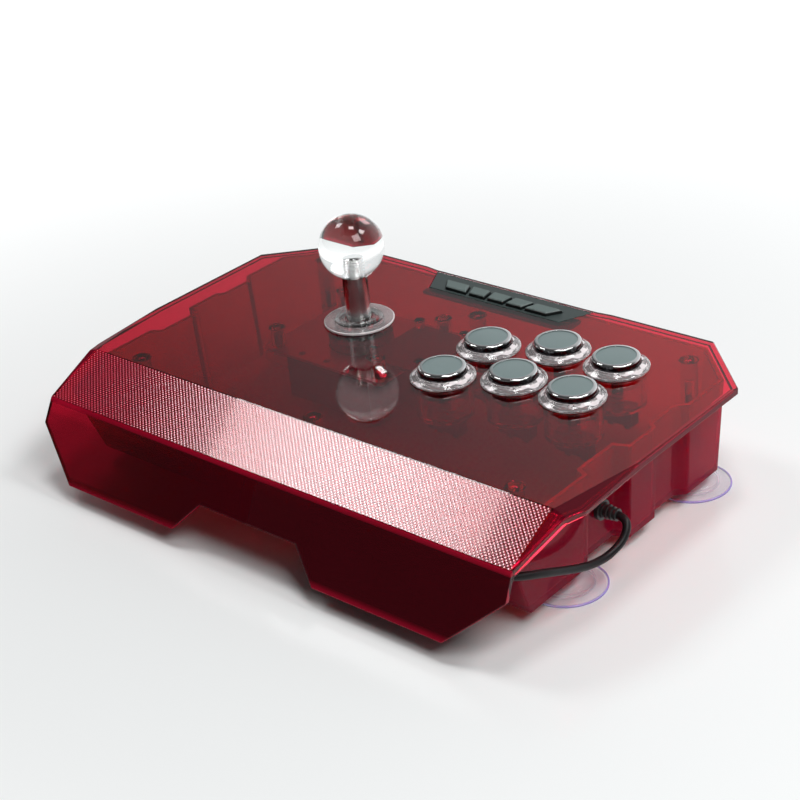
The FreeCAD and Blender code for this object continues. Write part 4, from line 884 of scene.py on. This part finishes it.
class ARCADE_OT_buttons(bpy.types.Operator):
    """Six buttons: clear housing, plated plunger and grey disc"""
    bl_idname = "arcade_stick.buttons"
    bl_label = "Buttons"

    def execute(self, context):
        settings = context.scene.arcade_controls
        clear = clear_moulding("clear_housing", context.scene.arcade_lever.clear)
        silver = plated("plated_plunger", settings.silver)
        disc = moulded("disc_satin", settings.inlay, 0.34, 0.10, 1800.0)
        for number in BUTTONS:
            body = "button_%d" % number
            for name, kind, section, material, rides, slot, steps in (
                    ("clear_housing", "housing", self.housing, clear, "case", "clear", 128),
                    ("plated_plunger", "plunger", self.plunger, silver, body, "silver", 112),
                    ("grey_disc", "inlay", self.disc, disc, body, "grey", 112)):
                node = "button_%s_%d" % (kind, number)
                turned_piece("%s_%d" % (name, number), node, section(*sizes_of(node)), material, rides,
                             steps)
        return {"FINISHED"}

    def housing(self, radius, low, high):
        """The housing's closed half section: barrel with a floor, and a conical rim on the panel."""
        barrel, bore, stem, floor = 14.8, 12.5, 3.3, low + 2.0
        panel = high - 3.18
        rim = panel + 0.98
        outline = [(stem, low), (barrel, low), (barrel, panel), (radius, panel), (radius, rim),
                   (bore + 1.7, high - 0.7), (bore + 0.8, high), (bore, high), (bore, floor), (stem, floor)]
        return eased(outline, 0.3, closed=True)

    def plunger(self, radius, low, high):
        """The plunger's half section: stem, crown, skirt, rounded bezel over the disc, and its seat."""
        seat, inner, stem = radius - 1.5, radius - 1.6, 3.0
        crown, skirt, under_disc = high - 2.6, high - 9.0, high - 1.0
        lap = seat - 0.5
        outline = [(0, low), (stem, low), (stem, crown), (inner, crown), (inner, skirt), (radius, skirt),
                   (radius, high - 0.1), (lap, high + 0.08), (lap, high + 0.02), (seat, high - 0.02),
                   (seat, under_disc), (0, under_disc)]
        return eased(outline, [0.2, 0.2, 0.2, 0.2, 0.2, 0.3, 0.9, 0.02, 0.01, 0.01, 0.1, 0.1])

    def disc(self, radius, low, high):
        """The disc's half section, a short rod's."""
        return bar(0, radius, low, high, 0.25)


class ARCADE_OT_keys(bpy.types.Operator):
    """Function keys and their strip"""
    bl_idname = "arcade_stick.keys"
    bl_label = "Function keys"

    def execute(self, context):
        settings = context.scene.arcade_controls
        satin = key_satin("key_satin", settings.key)
        for number in KEYS:
            rounded("satin_key_%d" % number, "function_key_%d" % number, 0.3 * MM, satin, "key_%d" % number)
        strip = moulded("strip_satin", settings.strip, 0.42, 0.20)
        rounded("satin_strip", "function_strip", 0.25 * MM, strip, "case")
        return {"FINISHED"}


class ARCADE_OT_inner_works(bpy.types.Operator):
    """Plate, housing, switches, boards, screws and the lever's rubber under the panel"""
    bl_idname = "arcade_stick.inner_works"
    bl_label = "Inner works"

    def execute(self, context):
        black = moulded("black_moulding", (0.018, 0.018, 0.02), 0.45, 0.15)
        rubber = moulded("black_rubber", (0.015, 0.015, 0.016), 0.6, 0.2)
        zinc = turned_metal("zinc_plate", (0.55, 0.55, 0.54), 0.28, 0.004)
        board = board_lacquer("board_lacquer", (0.010, 0.045, 0.022), (0.05, 0.16, 0.07), 0.0016)
        dress(["pivot_housing", "lever_gate", "lever_switches", "lever_actuator", "button_switches",
               "key_switches", "gimbal_ring"], black)
        dress(["lever_plate", "lever_screws", "case_screws", "gimbal_pins", "cross_pin",
               "retaining_clip"], zinc)
        dress(["lever_switch_board", "function_board", "main_board"], board)
        turned_piece("waisted_rubber", "centring_grommet", self.grommet(), rubber, "lever")
        return {"FINISHED"}

    def grommet(self):
        """The rubber's closed half section: a waisted ring whose top is a cone that falls towards its rim.

        The cone lies so low that it stays a gap under the housing with the lever tilted into a corner.
        """
        radius, low, high = sizes_of("centring_grommet")
        bore, waist, gap = 5.05, 1.6, 0.2
        pivot = sum(sizes_of("gimbal_ring")[1:]) / 2
        corner = math.acos(math.cos(LEVER_TILT) ** 2)
        rim, inner = (pivot - (pivot - high + gap + r * math.sin(corner)) / math.cos(corner)
                      for r in (radius, bore))
        middle = (low + rim) / 2
        outline = [(bore, low), (radius, low), (radius - waist, middle), (radius, rim), (bore, inner)]
        return eased(outline, 0.4, closed=True)


class ARCADE_OT_cord(bpy.types.Operator):
    """Cord with its gland, stored hank, tie and plug"""
    bl_idname = "arcade_stick.cord"
    bl_label = "Cord"

    def execute(self, context):
        settings = context.scene.arcade_cord
        jacket = moulded("cord_jacket", settings.black, 0.40, 0.08, 1500.0, 0.25)
        sleeve = moulded("gland_rubber", (0.026, 0.030, 0.030), 0.26, 0.08, 1500.0)
        dress(["cord_tie", "usb_plug"], moulded("plug_moulding", settings.black, 0.42, 0.2))
        dress(["usb_shell"], turned_metal("plug_steel", (0.62, 0.62, 0.62), 0.22, 0.003))
        self.gland(sleeve)
        route = self.route()
        curve = bpy.data.curves.new("lead", "CURVE")
        curve.dimensions = "3D"
        curve.bevel_depth = settings.diameter / 2
        curve.bevel_resolution = 5
        curve.resolution_u = 6
        curve.use_fill_caps = True
        spline = curve.splines.new("NURBS")
        spline.points.add(len(route) - 1)
        spline.points.foreach_set("co", np.hstack([route, np.ones((len(route), 1))]).ravel())
        spline.order_u = 3
        spline.use_endpoint_u = True
        lead = placed("lead", curve, jacket, "case", ["usb_cord", "cord_hank"])
        return {"FINISHED"}

    def route(self):
        """Control points in metres: the gland's tip, the free route, the hank and the tail to the plug."""
        low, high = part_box("cable_gland")
        tip = [[high[0], (low[1] + high[1]) / 2, (low[2] + high[2]) / 2]]
        return np.vstack([tip, np.array(CORD_ROUTE) * MM, self.hank() * MM, np.array(TAIL_ROUTE) * MM])

    def hank(self):
        """Six turns of the stored cord, each a waist crossing, a left loop, a crossing and a right loop.

        A loop's points are (c + R cos a, R sin a) about its end of the hank, and at the waist the rows lie
        one pitch apart. On each right loop the cord moves on to the next place in the lists of layers and
        columns, and there the places fan out so that neighbours clear each other.
        """
        turns = len(HANK_LAYERS) - 1
        arc = np.radians(np.arange(60, 301, 30))
        count = len(arc)

        def each_turn(*parts):
            return np.tile(np.concatenate(parts), turns)

        share = each_turn(np.zeros(count + 2), np.arange(count) / (count - 1))
        turn = np.repeat(np.arange(turns), 2 * count + 2)
        step = turn + share ** 2 * (3 - 2 * share)
        layer = np.interp(step, np.arange(turns + 1), HANK_LAYERS)
        column = np.interp(step, np.arange(turns + 1), HANK_COLUMNS)
        pitch = HANK_PITCH + HANK_FAN * np.sin(math.pi * share) ** 2
        radius = HANK_INNER_RADIUS + (1 - layer) * pitch
        row = HANK_PITCH / 2 + (1 - layer) * HANK_PITCH
        angle = each_turn([0], arc, [0], arc - math.pi)
        waist = each_turn([1], 0 * arc, [-1], 0 * arc)
        end = each_turn([0], -np.ones(count), [0], np.ones(count)) * HANK_HALF_LENGTH
        loop = waist == 0
        x = end + np.where(loop, radius * np.cos(angle), 0)
        z = np.where(loop, radius * np.sin(angle), waist * row)
        return np.stack([x, column * pitch, z], axis=-1) + np.array(HANK_CENTRE)

    def gland(self, sleeve):
        """The gland's half section along X: barb, flange, and a tapered sleeve of four ribs."""
        low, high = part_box("cable_gland")
        y, z = (low[1] + high[1]) / 2, (low[2] + high[2]) / 2
        start, end = low[0] / MM, high[0] / MM
        neck, wide, depth = 3.9, 5.2, 0.9
        wall = end - 10.6
        barb, barb_end = wall - 3.9, wall - 2.95
        flange, ribs = wall + 0.4, wall + 2.4
        groove = (end - ribs) / 7
        outline = [(0, start), (neck, start), (wide, barb), (wide, barb_end), (neck, barb_end),
                   (neck, flange), (wide, flange), (wide, ribs)]
        for number, radius in enumerate((3.9, 3.63, 3.37, 3.1)):
            begin = ribs + 2 * number * groove
            outline += [(radius, begin), (radius, begin + groove)]
            if number < 3:
                outline += [(radius - depth, begin + groove), (radius - depth, begin + 2 * groove)]
        outline.append((0, end))
        points, faces = turned(eased(outline, 0.15) * MM, (0, y, z), 48, along_x=True)
        piece("ribbed_gland", points, faces, sleeve, "case", ["cable_gland"])


class ARCADE_PT_panel(bpy.types.Panel):
    """Buttons that build the stick piece by piece"""
    bl_idname = "ARCADE_PT_panel"
    bl_label = "Arcade Stick"
    bl_space_type = "VIEW_3D"
    bl_region_type = "UI"
    bl_category = "Arcade Stick"

    def draw(self, context):
        for operator in OPERATORS:
            self.layout.operator(operator.bl_idname)


SETTINGS = {"arcade_case": CaseSettings, "arcade_lever": LeverSettings, "arcade_controls": ControlSettings,
            "arcade_cord": CordSettings, "arcade_stage": StageSettings}
OPERATORS = (ARCADE_OT_stage, ARCADE_OT_cord, ARCADE_OT_case, ARCADE_OT_palm_texture, ARCADE_OT_feet,
             ARCADE_OT_lever, ARCADE_OT_buttons, ARCADE_OT_keys, ARCADE_OT_inner_works)
CLASSES = (*SETTINGS.values(), *OPERATORS, ARCADE_PT_panel)


def register():
    """Register the classes and hang the settings on the scene."""
    for item in CLASSES:
        bpy.utils.register_class(item)
    for name, group in SETTINGS.items():
        setattr(bpy.types.Scene, name, PointerProperty(type=group))


def unregister():
    """Take everything back in reverse order."""
    for name in SETTINGS:
        delattr(bpy.types.Scene, name)
    for item in reversed(CLASSES):
        bpy.utils.unregister_class(item)


def main():
    """Build the stick and its stage."""
    register()
    for operator in OPERATORS:
        group, name = operator.bl_idname.split(".")
        getattr(getattr(bpy.ops, group), name)()


if __name__ == "__main__":
    main()
